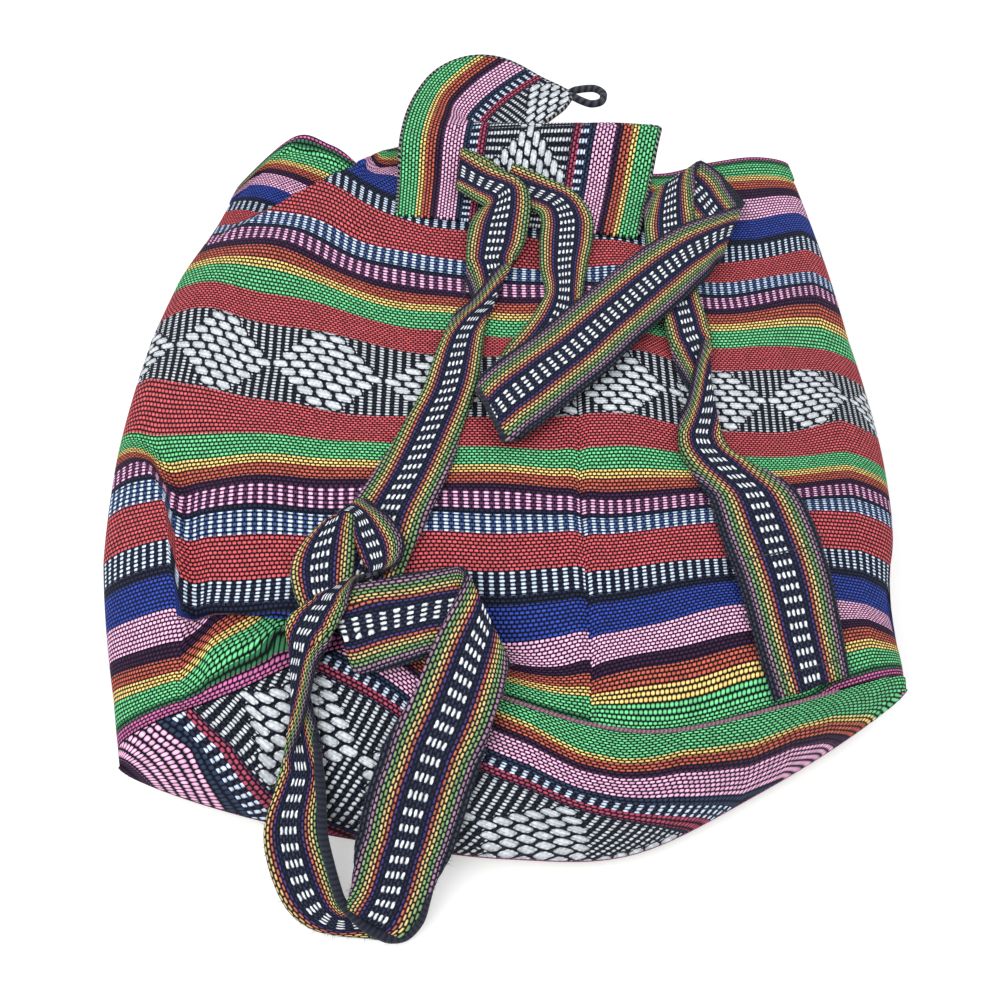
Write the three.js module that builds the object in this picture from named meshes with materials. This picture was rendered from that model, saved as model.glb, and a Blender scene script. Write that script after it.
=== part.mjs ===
// Woven cloth backpack, lying on its front with its back panel and straps up.
// The mouth points along +Y, the sewn base along -Y, and z = 0 is the surface it lies on.
// The origin is on that surface, under the middle of the front panel. Millimetres.
import * as THREE from "three";

// Cloth, band and sewing allowances
const CLOTH = 1.6;
const BAND = 1.6;
const GAP = 0.4;
const LOWER_SEAM_GAP = 0.7;
const HEM_DEPTH = 14;

// Width of the bag, as it lies, at its mouth, belly and base
const MOUTH_WIDTH = 290;
const BELLY_WIDTH = 344;
const BASE_WIDTH = 318;
// How far the mouth and the base are pulled to the right of the middle
const MOUTH_SHIFT = 7;
const BASE_SHIFT = 4;

// Height of the crown of the back panel, and of the fold along each side
const MOUTH_CROWN = 46;
const BELLY_CROWN = 76;
const BASE_CROWN = 68;
const MOUTH_SIDE = 24;
const BELLY_SIDE = 34;
const BASE_SIDE = 24;
// Fullness of the crown across the bag
const CROWN_POWER = 2.6;
const CROWN_ROOT = 0.6;

// Where along the bag the widths and heights above hold
const MOUTH_Y = 168;
const BELLY_Y = -10;
const CROWN_Y = -50;
const BASE_Y = -140;

// Edges of the panels, from the left side of the bag to its right, as they lie
const BACK_RIM = [170, 182, 172, 165, 153, 158, 176];
const FRONT_RIM = [172, 177, 179, 179, 177, 176, 177];
const BACK_SEAM = [-140, -129, -113, -136, -147, -134, -111];
const FRONT_SEAM = [-148, -164, -174, -180, -178, -152, -117];
// Round of the front panel up to the base, and how high the mouth lifts it
const SEAM_ROUND = 9;
const FRONT_LIFT = 7;
const FRONT_LIFT_START = 30;
const FRONT_LIFT_END = 110;
// Share of the half width that lies flat on the surface
const FLAT_SHARE = 0.8;
// Places across the front panel where its underside is cut into facets
const FRONT_PLACES = [-0.97, -0.92, -0.86, -0.8, -0.53, -0.27, 0, 0.27, 0.53, 0.8, 0.86, 0.92, 0.97];
// Fullness of the base from its upper seam to its lower one
const BASE_POWER = 1.6;
const BASE_ROOT = 0.7;

// Gather at the left of the mouth: a deep pleat that runs down to the left side
const PLEAT_DEPTH = 16;
const PLEAT_START = new THREE.Vector2(-139, 118);
const PLEAT_END = new THREE.Vector2(-50, 174);
const PLEAT_STEP = 6;
const PLEAT_FADE = 16;
// Crease that turns the left side under, from the belly to the base
const CREASE = [[-1, -165], [-21, -147], [-40, -137], [-69, -130], [-95, -125]];
const CREASE_HEIGHT = 5;
const CREASE_FADE = 30;
// Tuck across the lower left of the back panel
const TUCK_LEFT = new THREE.Vector2(-126, -93);
const TUCK_RIGHT = new THREE.Vector2(-60, -103);
const TUCK_DEPTH = 6;
const TUCK_FADE = 14;

// Flap: a round-ended tongue sewn to the back panel, with a pleat that turns its end
const FLAP_WIDTH = 128;
const FLAP_LENGTH = 160;
const FLAP_ROOT = new THREE.Vector2(-48, 116);
const FLAP_ROOT_SLOPE = 0.14;
const FLAP_ROOT_GATHER = 0.9;
const FLAP_RISE = 11;
const FLAP_RISE_START = 24;
const FLAP_TURN = 0.89;
const FLAP_BEND_START = 26;
const FLAP_BEND_END = 160;
const FLAP_PLEAT_START = 53;
const FLAP_PLEAT_END = 100;
const FLAP_PLEAT_DROP = 8;
const FLAP_PLEAT_SQUEEZE = 0.8;
const FLAP_SQUEEZE_FROM = 60;
const FLAP_DROOP = 16;
const FLAP_DROOP_START = 172;
const FLAP_DROOP_LENGTH = 84;
const FLAP_TIP = 12;

// Cord loop at the tip of the flap, and the button that it goes over
const LOOP_CORD = 3.2;
const LOOP_LENGTH = 14;
const LOOP_WIDTH = 12;
const LOOP_ANGLE = -0.2;
const BUTTON_X = 15;
const BUTTON_Y = 112;
const BUTTON_DIAMETER = 16;
const BUTTON_THICKNESS = 3.4;
const BUTTON_ROUND = 0.6;
const BUTTON_HOLE = 2.4;
const BUTTON_HOLE_SPACING = 5;
const THREAD_DIAMETER = 3;

// Where the straps leave the base for the surface in front of it
const DRAPE_FOOT = -207;
const DRAPE_OVER_RIM = 25;

// The straps' routes, from the middle of the back to the sewn lower ends.
// Each row crosses the band: one edge's x and y, the other edge's x and y,
// and how many layers of cloth each edge lies above the bag.
const RIGHT_STRAP = [
  [6, 147, 0, 125, 1.2, 1.2], [22, 139, 11, 119, 1.3, 1.3], [36, 130, 19, 114, 1.3, 1.3],
  [43, 114, 20, 106, 1.3, 1.3], [43, 97, 19, 94, 1.2, 1.2], [40, 81, 19, 76, 1.1, 1.1],
  [37, 61, 21, 60, 1.1, 1.1], [36, 42, 18, 52, 1, 1], [29, 24, 13, 42, 1, 1],
  [19, 6, 3, 26, 1, 1], [10, -9, -4, 11, 1, 1], [5, -22, -10, 3, 1.3, 1.3],
  [5, -26, -9, -2, 2.8, 2.8], [13, -24, -5, 2, 3.2, 3.2], [26, -12, 9, 15, 3.2, 3.2],
  [43, 8, 26, 32, 3.2, 3.2], [61, 30, 45, 54, 3.2, 3.2], [78, 51, 64, 78, 3.2, 3.2],
  [91, 66, 84, 100, 3.3, 3.3], [99, 79, 106, 117, 3.3, 3.3], [101, 82, 118, 128, 2.8, 2.8],
  [97, 86, 119, 133, 1.2, 1.2], [90, 101, 114, 144, 1, 1], [83, 121, 109, 156, 1, 1],
  [76, 132, 102, 166, 1.2, 1.2], [72, 130, 99, 164, 2.2, 2.2], [69, 110, 93, 126, 2.3, 2.3],
  [69, 89, 91, 95, 2.2, 2.2], [70, 70, 90, 77, 1.6, 1.6], [72, 54, 90, 62, 1.3, 1.3],
  [74, 39, 92, 47, 1.2, 1.4], [77, 21, 92, 33, 1.1, 2.4], [82, 7, 88, 18, 1, 4],
  [88, -3, 80, 0, 1, 4.4], [92, -13, 76, -13, 1, 3], [95, -25, 75, -26, 0.9, 2],
  [105, -32, 79, -37, 0.8, 1.2], [121, -41, 84, -51, 0.7, 0.8], [128, -55, 88, -68, 0.6, 0.6],
  [133, -77, 94, -89, 0.6, 0.6], [137, -102, 98, -114, 0.5, 0.5], [140, -118, 103, -129, 0.4, 0.4],
];
const LEFT_STRAP = [
  [-1, 122, 3, 143, 1.2, 1.2], [-11, 125, -7, 150, 1.3, 1.3], [-20, 133, -18, 155, 1.6, 1.6],
  [-20, 130, -18, 152, 3.1, 3.1], [-12, 121, -5, 143, 3.4, 3.4], [-7, 115, 10, 134, 3.5, 3.5],
  [-11, 110, 14, 122, 3.1, 3.1], [-14, 102, 13, 105, 2.4, 2.4], [-15, 88, 10, 90, 1.7, 1.7],
  [-15, 74, 5, 78, 1.2, 1.8], [-14, 61, -2, 63, 1, 3.3], [-12, 52, -12, 49, 1, 4.2],
  [-8, 44, -20, 42, 1, 3], [-8, 28, -27, 25, 1, 1.6], [-10, 7, -33, 1, 1, 1],
  [-15, -14, -41, -19, 1, 1], [-21, -39, -52, -42, 1, 1], [-28, -59, -60, -57, 1, 1],
  [-35, -76, -62, -70, 1, 1], [-42, -97, -66, -83, 1, 1], [-52, -118, -68, -92, 1.2, 1.2],
  [-56, -124, -67, -96, 2.6, 2.6], [-44, -126, -50, -93, 4.4, 4.4], [-34, -125, -33, -90, 4.6, 4.6],
  [-24, -122, -20, -88, 4.7, 4.7], [-3, -121, -15, -88, 4.8, 4.8], [2, -124, -13, -92, 6.3, 6.3],
  [1, -136, -23, -116, 6.2, 6.2], [-4, -149, -32, -136, 5.4, 5.4], [-9, -161, -44, -150, 4, 4],
  [-14, -171, -52, -162, 3, 3], [-19, -182, -56, -176, 2.4, 2.4], [-24, -192, -57, -188, 2, 2],
  [-29, -201, -58, -197, 1.4, 2], [-36, -207, -59, -200, 1.1, 3.8], [-46, -210, -60, -201, 1.1, 5],
  [-61, -208, -61, -201, 1.1, 5.4], [-75, -204, -63, -197, 1.1, 4.6], [-84, -198, -65, -192, 1.4, 3],
  [-89, -189, -67, -185, 2, 2], [-92, -179, -70, -179, 2.4, 2.4], [-93, -169, -70, -170, 2.7, 2.7],
  [-92, -160, -70, -160, 2.8, 2.8], [-88, -151, -69, -151, 2.8, 3.3], [-84, -141, -69, -142, 2.8, 4.4],
  [-82, -131, -69, -133, 2.8, 5.6], [-81, -121, -68, -125, 3, 6], [-81, -112, -64, -118, 3.1, 6],
  [-77, -103, -58, -109, 3.4, 5.4], [-67, -97, -49, -103, 3.2, 3.4], [-60, -90, -42, -98, 3.1, 3.1],
  [-58, -79, -37, -88, 3.1, 3.1], [-58, -68, -39, -76, 3.1, 3.1], [-61, -61, -45, -63, 3, 3],
  [-66, -62, -54, -56, 2.4, 2.4], [-71, -67, -58, -60, 2.1, 2.1], [-79, -75, -58, -70, 2, 2],
  [-82, -85, -57, -82, 1.8, 1.8], [-80, -95, -57, -93, 1.5, 1.5], [-79, -103, -58, -101, 1, 1],
  [-77, -109, -59, -107, 0.4, 0.4],
];

// How finely the surfaces are cut into facets
const PANEL_COLUMNS = 40;
const PANEL_ROWS = 28;
const ROUND_ROWS = 3;
const BASE_ROWS = 8;
const FLAP_COLUMNS = 14;
const FLAP_STRAIGHT_ROWS = 6;
const FLAP_PLEAT_ROWS = 12;
const FLAP_END_ROWS = 8;
const STRAP_COLUMNS = 3;
const STRAP_STEPS = 2;
const LOOP_STEPS = 24;
const LOOP_SIDES = 8;
const BUTTON_SIDES = 24;

const clamp = THREE.MathUtils.clamp;
const lerp = THREE.MathUtils.lerp;
const smooth = (t) => THREE.MathUtils.smoothstep(t, 0, 1);
const after = (value, start, end) => Math.max(0, (value - start) / (end - start));

// Smooth curve through evenly spaced values, from -1 at the left side to 1 at the right
function across(values, side) {
  const last = values.length - 1;
  const place = clamp((side + 1) / 2, 0, 1) * last;
  const i = Math.min(Math.floor(place), last - 1);
  const t = place - i;
  const p0 = i > 0 ? values[i - 1] : 2 * values[0] - values[1];
  const p3 = i < last - 1 ? values[i + 2] : 2 * values[last] - values[last - 1];
  const [p1, p2] = [values[i], values[i + 1]];
  const cubic = 3 * p1 - p0 - 3 * p2 + p3;
  const square = 2 * p0 - 5 * p1 + 4 * p2 - p3;
  return 0.5 * (2 * p1 + (p2 - p0) * t + square * t * t + cubic * t ** 3);
}

// Half width, middle line, crown and side heights of the bag at a place along it
function halfWidth(y) {
  const toMouth = after(y, BELLY_Y, MOUTH_Y) ** 1.6;
  const toBase = after(y, BELLY_Y, BASE_Y) ** 2;
  const drawnIn = (BELLY_WIDTH - MOUTH_WIDTH) * toMouth + (BELLY_WIDTH - BASE_WIDTH) * toBase;
  return (BELLY_WIDTH - drawnIn) / 2;
}

function middle(y) {
  const toMouth = after(y, 60, MOUTH_Y);
  const toBase = Math.min(after(y, -60, -120), 1);
  return MOUTH_SHIFT * toMouth + BASE_SHIFT * toBase;
}

function crownHeight(y) {
  const toMouth = after(y, CROWN_Y, MOUTH_Y) ** 1.5;
  const toBase = after(y, CROWN_Y, BASE_Y) ** 2;
  return BELLY_CROWN - (BELLY_CROWN - MOUTH_CROWN) * toMouth - (BELLY_CROWN - BASE_CROWN) * toBase;
}

function sideHeight(y) {
  const toMouth = after(y, CROWN_Y, MOUTH_Y);
  const toBase = after(y, CROWN_Y, BASE_Y) ** 2;
  return BELLY_SIDE - (BELLY_SIDE - MOUTH_SIDE) * toMouth - (BELLY_SIDE - BASE_SIDE) * toBase;
}

const sideOf = (x, y) => clamp((x - middle(y)) / halfWidth(y), -1, 1);
const atSide = (side, y) => middle(y) + halfWidth(y) * side;

// The folds of the back panel, as heights added to its plain crown
function mouthPleat(x, y) {
  const run = PLEAT_END.clone().sub(PLEAT_START);
  const fromStart = new THREE.Vector2(x, y).sub(PLEAT_START);
  const beyond = run.cross(fromStart) / run.length();
  const along = clamp(fromStart.dot(run) / run.lengthSq() + 0.12, 0, 1);
  const ending = 1 - smooth((x - PLEAT_END.x) / 30);
  const fade = Math.exp(-Math.max(beyond - PLEAT_STEP, 0) / PLEAT_FADE);
  return -PLEAT_DEPTH * along * ending * smooth(beyond / PLEAT_STEP) * fade;
}

function sideCrease(x, y) {
  const upper = Math.max(0, CREASE.findIndex(([at]) => at <= y) - 1);
  const below = y < CREASE.at(-1)[0] ? CREASE.length - 2 : Math.min(upper, CREASE.length - 2);
  const [[y0, x0], [y1, x1]] = [CREASE[below], CREASE[below + 1]];
  const right = x - lerp(x0, x1, clamp((y - y0) / (y1 - y0), 0, 1));
  const along = smooth((y + 125) / 30) * (1 - smooth((y + 12) / 20));
  const lip = smooth((right + 3) / 4) * Math.exp(-Math.max(right, 0) / CREASE_FADE);
  const valley = Math.exp(-(((right + 4) / 5) ** 2));
  return CREASE_HEIGHT * along * (lip - 0.6 * valley);
}

function lowerTuck(x, y) {
  const slope = (TUCK_RIGHT.y - TUCK_LEFT.y) / (TUCK_RIGHT.x - TUCK_LEFT.x);
  const above = y - TUCK_LEFT.y - slope * (x - TUCK_LEFT.x);
  const along = smooth((x - TUCK_LEFT.x) / 10) * (1 - smooth((x - TUCK_RIGHT.x) / 30));
  const lip = 0.5 * smooth((above + 2) / 4) * Math.exp(-Math.max(above, 0) / TUCK_FADE);
  const fallen = smooth((2 - above) / 4) * Math.exp(Math.min(above, 0) / TUCK_FADE);
  return TUCK_DEPTH * along * (lip - fallen);
}

function plainBack(x, y) {
  const dome = Math.max(0, 1 - Math.abs(sideOf(x, y)) ** CROWN_POWER) ** CROWN_ROOT;
  return lerp(sideHeight(y), crownHeight(y), dome);
}

function folds(x, y) {
  const awayFromSide = 1 - Math.abs(sideOf(x, y)) ** 6;
  return awayFromSide * (mouthPleat(x, y) + sideCrease(x, y) + lowerTuck(x, y));
}

const backHeight = (x, y) => plainBack(x, y) + folds(x, y);

// Underside of the front panel: flat in the middle, turned up to the sides, lifted at the mouth
function frontHeight(side, y) {
  const turn = Math.max(0, (Math.abs(side) - FLAT_SHARE) / (1 - FLAT_SHARE)) ** 2;
  const lift = FRONT_LIFT * smooth((y - FRONT_LIFT_START) / (FRONT_LIFT_END - FRONT_LIFT_START));
  return lerp(lift, sideHeight(y), turn);
}

// Lower seam of the base, a little above the surface in the middle: a corner of it, and
// a point on the straight facet edges between its corners
function seamCorner(side) {
  const y = across(FRONT_SEAM, side);
  const flat = frontHeight(side, y);
  const z = flat + SEAM_ROUND * (1 - flat / sideHeight(y));
  return new THREE.Vector3(atSide(side, y), y, z);
}

function lowerSeam(side) {
  const next = clamp(FRONT_PLACES.findIndex((place) => place >= side), 1, FRONT_PLACES.length - 1);
  const [left, right] = [FRONT_PLACES[next - 1], FRONT_PLACES[next]];
  return seamCorner(left).lerp(seamCorner(right), (side - left) / (right - left));
}

function upperSeam(side) {
  const y = across(BACK_SEAM, side);
  const x = atSide(side, y);
  return new THREE.Vector3(x, y, backHeight(x, y));
}

// Point of the base, from 0 at its upper seam to 1 at its lower one
function basePoint(side, down) {
  const above = upperSeam(side);
  const below = lowerSeam(side);
  const y = lerp(above.y - GAP, below.y, down);
  const x = lerp(above.x, below.x, down);
  const turnedUp = frontHeight(side, below.y) / sideHeight(below.y);
  const foot = below.z + LOWER_SEAM_GAP + CLOTH * turnedUp;
  const fall = Math.max(0, 1 - down ** BASE_POWER) ** BASE_ROOT;
  return new THREE.Vector3(x, y, lerp(foot, above.z, fall));
}

// Height of what the straps lie on: back panel, base, the slope to the surface, or the surface
function drapeHeight(x, y) {
  const side = sideOf(x, y);
  const rim = across(BACK_RIM, side);
  const above = upperSeam(side);
  if (y > rim + DRAPE_OVER_RIM) return 0;
  const onBack = Math.min(y, rim);
  const overFlap = x > FLAP_ROOT.x && x < FLAP_ROOT.x + FLAP_WIDTH * FLAP_ROOT_GATHER;
  const flap = overFlap ? flapRaised(y - FLAP_ROOT.y + FLAP_ROOT_SLOPE * (x - FLAP_ROOT.x)) : 0;
  if (y >= above.y) return plainBack(x, onBack) + Math.max(0, folds(x, onBack)) + flap;
  const below = lowerSeam(side);
  const down = clamp((above.y - y) / (above.y - below.y), 0, 1);
  const fall = Math.max(0, 1 - down ** BASE_POWER) ** BASE_ROOT;
  const onBase = y < below.y ? 0 : lerp(below.z, above.z, fall);
  const slope = above.z * clamp((y - DRAPE_FOOT) / (above.y - DRAPE_FOOT), 0, 1);
  return Math.max(onBase, slope);
}

// Geometry from shared points and triangles, turned so that it encloses a positive volume
function closedGeometry(points, triangles) {
  let volume = 0;
  for (const [a, b, c] of triangles) {
    volume += points[a].dot(points[b].clone().cross(points[c]));
  }
  const outward = volume > 0 ? triangles : triangles.map(([a, b, c]) => [a, c, b]);
  const geometry = new THREE.BufferGeometry();
  geometry.setFromPoints(points);
  geometry.setIndex(outward.flat());
  geometry.computeVertexNormals();
  return geometry;
}

const quad = (a, b, c, d) => [[a, b, c], [a, c, d]];

// Normal of a grid of points at one of them, from its neighbours
function gridNormal(grid, row, column, wrapped) {
  const columns = grid[row].length;
  const before = wrapped ? (column + columns - 1) % columns : Math.max(column - 1, 0);
  const next = wrapped ? (column + 1) % columns : Math.min(column + 1, columns - 1);
  const lower = grid[Math.max(row - 1, 0)][column];
  const upper = grid[Math.min(row + 1, grid.length - 1)][column];
  const acrossGrid = grid[row][next].clone().sub(grid[row][before]);
  return acrossGrid.cross(upper.clone().sub(lower)).normalize();
}

const moved = (point, direction, distance) => point.clone().addScaledVector(direction, distance);

// Sheet with thickness between two grids of points, closed along its four edges
function sheetBetween(front, back) {
  const columns = front[0].length;
  const rows = front.length;
  const points = [...front.flat(), ...back.flat()];
  const first = (row, column) => row * columns + column;
  const second = (row, column) => rows * columns + row * columns + column;
  const triangles = [];
  for (let row = 0; row < rows - 1; row += 1) {
    for (let i = 0; i < columns - 1; i += 1) {
      const [next, up] = [i + 1, row + 1];
      triangles.push(...quad(first(row, i), first(row, next), first(up, next), first(up, i)));
      triangles.push(...quad(second(row, i), second(up, i), second(up, next), second(row, next)));
    }
    const end = columns - 1;
    triangles.push(...quad(first(row, 0), first(row + 1, 0), second(row + 1, 0), second(row, 0)));
    triangles.push(...quad(first(row, end), second(row, end), second(row + 1, end), first(row + 1, end)));
  }
  for (let i = 0; i < columns - 1; i += 1) {
    const end = rows - 1;
    triangles.push(...quad(first(0, i), second(0, i), second(0, i + 1), first(0, i + 1)));
    triangles.push(...quad(first(end, i), first(end, i + 1), second(end, i + 1), second(end, i)));
  }
  return closedGeometry(points, triangles);
}

// Sheet of an even thickness about a grid of middle points
function sheetAbout(grid, thickness) {
  const offset = (amount) => grid.map((line, row) => (
    line.map((point, i) => moved(point, gridNormal(grid, row, i, false), amount))
  ));
  return sheetBetween(offset(thickness / 2), offset(-thickness / 2));
}

// Tube with a wall: rings of outer points from end to end, then rings of inner points back
function walledTube(outer, inner) {
  const rings = [...outer, ...inner.toReversed()];
  const columns = rings[0].length;
  const triangles = rings.flatMap((_, row) => rings[0].flatMap((__, i) => {
    const [above, beside] = [(row + 1) % rings.length, (i + 1) % columns];
    const at = (ring, column) => ring * columns + column;
    return quad(at(row, i), at(row, beside), at(above, beside), at(above, i));
  }));
  return closedGeometry(rings.flat(), triangles);
}

const cloth = (color) => new THREE.MeshStandardMaterial({ color, roughness: 0.92, metalness: 0 });

function part(name, geometry, material) {
  const mesh = new THREE.Mesh(geometry, material);
  mesh.name = name;
  return mesh;
}

// Places across a panel, closer together towards its sides
function sidePlaces(count) {
  return Array.from({ length: count + 1 }, (_, i) => {
    const even = (2 * i) / count - 1;
    return (even - Math.cos((Math.PI * i) / count)) / 2;
  });
}

// Ring of the body, from its left side over the back to the right, and under the front again
function bodyRing(row) {
  const along = row / PANEL_ROWS;
  const back = sidePlaces(PANEL_COLUMNS).map((side) => {
    const y = lerp(across(BACK_SEAM, side), across(BACK_RIM, side), along);
    const x = atSide(side, y);
    return new THREE.Vector3(x, y, backHeight(x, y));
  });
  const front = FRONT_PLACES.toReversed().map((side) => {
    const seam = seamCorner(side);
    const rim = across(FRONT_RIM, side);
    const turn = Math.min(row / ROUND_ROWS, 1) * (Math.PI / 2);
    const started = seam.y + SEAM_ROUND * (1 - Math.cos(turn));
    const y = lerp(started, rim, Math.max(0, row - ROUND_ROWS) / (PANEL_ROWS - ROUND_ROWS));
    const flat = frontHeight(side, y);
    return new THREE.Vector3(atSide(side, y), y, lerp(seam.z, flat, Math.sin(turn)));
  });
  return [...back, ...front];
}

function bodyPanel() {
  const outer = Array.from({ length: PANEL_ROWS + 1 }, (_, row) => bodyRing(row));
  const hemRows = (HEM_DEPTH * PANEL_ROWS) / (MOUTH_Y - BASE_Y);
  const inner = outer.map((ring, row) => ring.map((point, i) => {
    const layers = row > PANEL_ROWS - hemRows ? 2 : 1;
    return moved(point, gridNormal(outer, row, i, true), -CLOTH * layers);
  }));
  return part("body_panel", walledTube(outer, inner), cloth(0xb8453c));
}

function basePanel() {
  const places = sidePlaces(PANEL_COLUMNS).map((side) => side * FRONT_PLACES.at(-1));
  const turns = Array.from({ length: BASE_ROWS + 1 }, (_, row) => (Math.PI / 2) * (row / BASE_ROWS));
  const outer = turns.map((turn) => places.map((side) => basePoint(side, Math.sin(turn))));
  const inner = turns.map((turn, row) => outer[row].map((point) => (
    moved(point, new THREE.Vector3(0, Math.sin(turn), -Math.cos(turn)), CLOTH)
  )));
  return part("base_panel", sheetBetween(outer, inner), cloth(0x3d5a86));
}

// Rise of the flap off the back panel at a distance from its root
const flapRaised = (along) => FLAP_RISE * smooth(after(along, FLAP_RISE_START, FLAP_PLEAT_START));

// Turn of the flap's end, as a share of the whole pleat, at a distance from its root
const flapTurned = (along) => smooth(after(along, FLAP_PLEAT_START, FLAP_PLEAT_END));

// Direction across the flap: square to its root, then swung round by the pleat
function flapSwing(along) {
  const fromRoot = FLAP_ROOT_SLOPE * (1 - Math.min(along / FLAP_PLEAT_START, 1));
  return fromRoot + FLAP_TURN * flapTurned(along);
}

// Left edge of the flap: straight up from the root, then bending slowly to the right
function flapEdge(along) {
  const edge = FLAP_ROOT.clone();
  const steps = Math.ceil(along);
  for (let i = 0; i < steps; i += 1) {
    const passed = (along * (i + 0.5)) / steps;
    const swing = FLAP_TURN * smooth(after(passed, FLAP_BEND_START, FLAP_BEND_END));
    edge.x += (along / steps) * Math.sin(swing);
    edge.y += (along / steps) * Math.cos(swing);
  }
  return edge;
}

// Middle of the flap's cloth at a distance from its left edge and from its root
function flapPoint(fromLeft, along) {
  const turned = flapTurned(along);
  const swing = flapSwing(along);
  const gathered = lerp(FLAP_ROOT_GATHER, 1, Math.min(along / FLAP_PLEAT_START, 1));
  const past = Math.max(0, fromLeft - FLAP_SQUEEZE_FROM);
  const reach = gathered * (fromLeft - past * FLAP_PLEAT_SQUEEZE * turned);
  const edge = flapEdge(along);
  const x = edge.x + reach * Math.cos(swing);
  const y = edge.y - reach * Math.sin(swing);
  const rim = across(BACK_RIM, sideOf(x, y)) - 3;
  const pleated = FLAP_PLEAT_DROP * turned * smooth(fromLeft / 45);
  const drooped = FLAP_DROOP * smooth((y - FLAP_DROOP_START) / FLAP_DROOP_LENGTH);
  const seat = plainBack(x, Math.min(y, rim)) + GAP + CLOTH / 2;
  return new THREE.Vector3(x, y, seat + flapRaised(along) - pleated - drooped);
}

function closingFlap() {
  const round = FLAP_WIDTH / 2;
  const roundStart = FLAP_LENGTH - round;
  const steps = (start, end, count) => Array.from({ length: count }, (_, i) => lerp(start, end, i / count));
  const lastTurn = Math.acos(FLAP_TIP / FLAP_WIDTH);
  const endStart = Math.asin(Math.max(0, (FLAP_PLEAT_END - roundStart) / round));
  const ending = steps(endStart, lastTurn, FLAP_END_ROWS).map((turn) => roundStart + round * Math.sin(turn));
  const rows = [
    ...steps(0, FLAP_PLEAT_START, FLAP_STRAIGHT_ROWS),
    ...steps(FLAP_PLEAT_START, FLAP_PLEAT_END, FLAP_PLEAT_ROWS),
    ...ending,
    roundStart + round * Math.sin(lastTurn),
  ];
  const grid = rows.map((along) => {
    const past = Math.max(0, along - roundStart);
    const half = Math.sqrt(round ** 2 - past ** 2);
    return Array.from({ length: FLAP_COLUMNS + 1 }, (_, i) => (
      flapPoint(round + half * ((2 * i) / FLAP_COLUMNS - 1), along)
    ));
  });
  return part("closing_flap", sheetAbout(grid, CLOTH), cloth(0xd9d6d0));
}

// Loop of cord: out from the flap's tip and back to it
function flapLoop() {
  const tip = flapPoint(FLAP_WIDTH / 2, FLAP_LENGTH);
  const forward = new THREE.Vector3(Math.cos(LOOP_ANGLE), Math.sin(LOOP_ANGLE), 0);
  const sideways = new THREE.Vector3(-forward.y, forward.x, 0);
  const clear = LOOP_CORD / 2 + GAP;
  const at = ([out, aside]) => (
    moved(moved(tip, forward, clear + LOOP_LENGTH * out), sideways, (LOOP_WIDTH / 2) * aside)
  );
  const outward = [[0, 0.45], [0.3, 0.8], [0.65, 1], [0.94, 0.6]];
  const homeward = outward.toReversed().map(([out, aside]) => [out, -aside]);
  const route = new THREE.CatmullRomCurve3([...outward, [1, 0], ...homeward].map(at));
  const section = new THREE.Shape();
  section.absarc(0, 0, LOOP_CORD / 2, 0, 2 * Math.PI);
  const geometry = new THREE.ExtrudeGeometry(section, {
    extrudePath: route, steps: LOOP_STEPS, curveSegments: LOOP_SIDES / 2,
  });
  return part("flap_loop", geometry, cloth(0x23262c));
}

// Row of a strap between its listed rows, by a smooth curve with even steps of time
function strapRow(route, place) {
  const last = route.length - 1;
  const i = Math.min(Math.floor(place), last - 1);
  const t = place - i;
  const spacing = (a, b) => (
    Math.sqrt(Math.hypot(a[0] + a[2] - b[0] - b[2], a[1] + a[3] - b[1] - b[3]) + 1)
  );
  const [p1, p2] = [route[i], route[i + 1]];
  const p0 = route[Math.max(i - 1, 0)];
  const p3 = route[Math.min(i + 2, last)];
  const [d0, d1, d2] = [spacing(p0, p1), spacing(p1, p2), spacing(p2, p3)];
  return p1.map((value, k) => {
    const step = p2[k] - value;
    const startSlope = i > 0 ? d1 * ((value - p0[k]) / d0 - (p2[k] - p0[k]) / (d0 + d1)) + step : step;
    const endSlope = i < last - 1 ? step - d1 * ((p3[k] - value) / (d1 + d2) - (p3[k] - p2[k]) / d2) : step;
    const h = t * t * (3 - 2 * t);
    return value + step * h + startSlope * t * (1 - t) ** 2 - endSlope * t * t * (1 - t);
  });
}

function strap(name, route) {
  const count = (route.length - 1) * STRAP_STEPS;
  const grid = Array.from({ length: count + 1 }, (_, row) => {
    const [ax, ay, bx, by, layerA, layerB] = strapRow(route, row / STRAP_STEPS);
    return Array.from({ length: STRAP_COLUMNS + 1 }, (__, i) => {
      const share = i / STRAP_COLUMNS;
      const x = lerp(ax, bx, share);
      const y = lerp(ay, by, share);
      const layers = lerp(layerA, layerB, share);
      const z = drapeHeight(x, y) + GAP + BAND / 2 + layers * (BAND + GAP);
      return new THREE.Vector3(x, y, z);
    });
  });
  return part(name, sheetAbout(grid, BAND), cloth(0x4a4256));
}

// Round two-hole button on the front panel, and the thread that holds it
function frontButton() {
  const outline = new THREE.Shape();
  outline.absarc(0, 0, BUTTON_DIAMETER / 2 - BUTTON_ROUND, 0, 2 * Math.PI);
  for (const direction of [-1, 1]) {
    const hole = new THREE.Path();
    const aside = (direction * BUTTON_HOLE_SPACING) / 2;
    hole.absarc(aside, 0, (BUTTON_HOLE + BUTTON_ROUND) / 2, 0, 2 * Math.PI);
    outline.holes.push(hole);
  }
  const geometry = new THREE.ExtrudeGeometry(outline, {
    depth: BUTTON_THICKNESS - 2 * BUTTON_ROUND,
    bevelThickness: BUTTON_ROUND,
    bevelSize: BUTTON_ROUND / 2,
    bevelSegments: 1,
    curveSegments: BUTTON_SIDES / 2,
  });
  const wood = new THREE.MeshStandardMaterial({ color: 0x6b4429, roughness: 0.55, metalness: 0 });
  const button = part("front_button", geometry, wood);
  button.position.set(BUTTON_X, BUTTON_Y, BUTTON_ROUND);
  return button;
}

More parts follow.
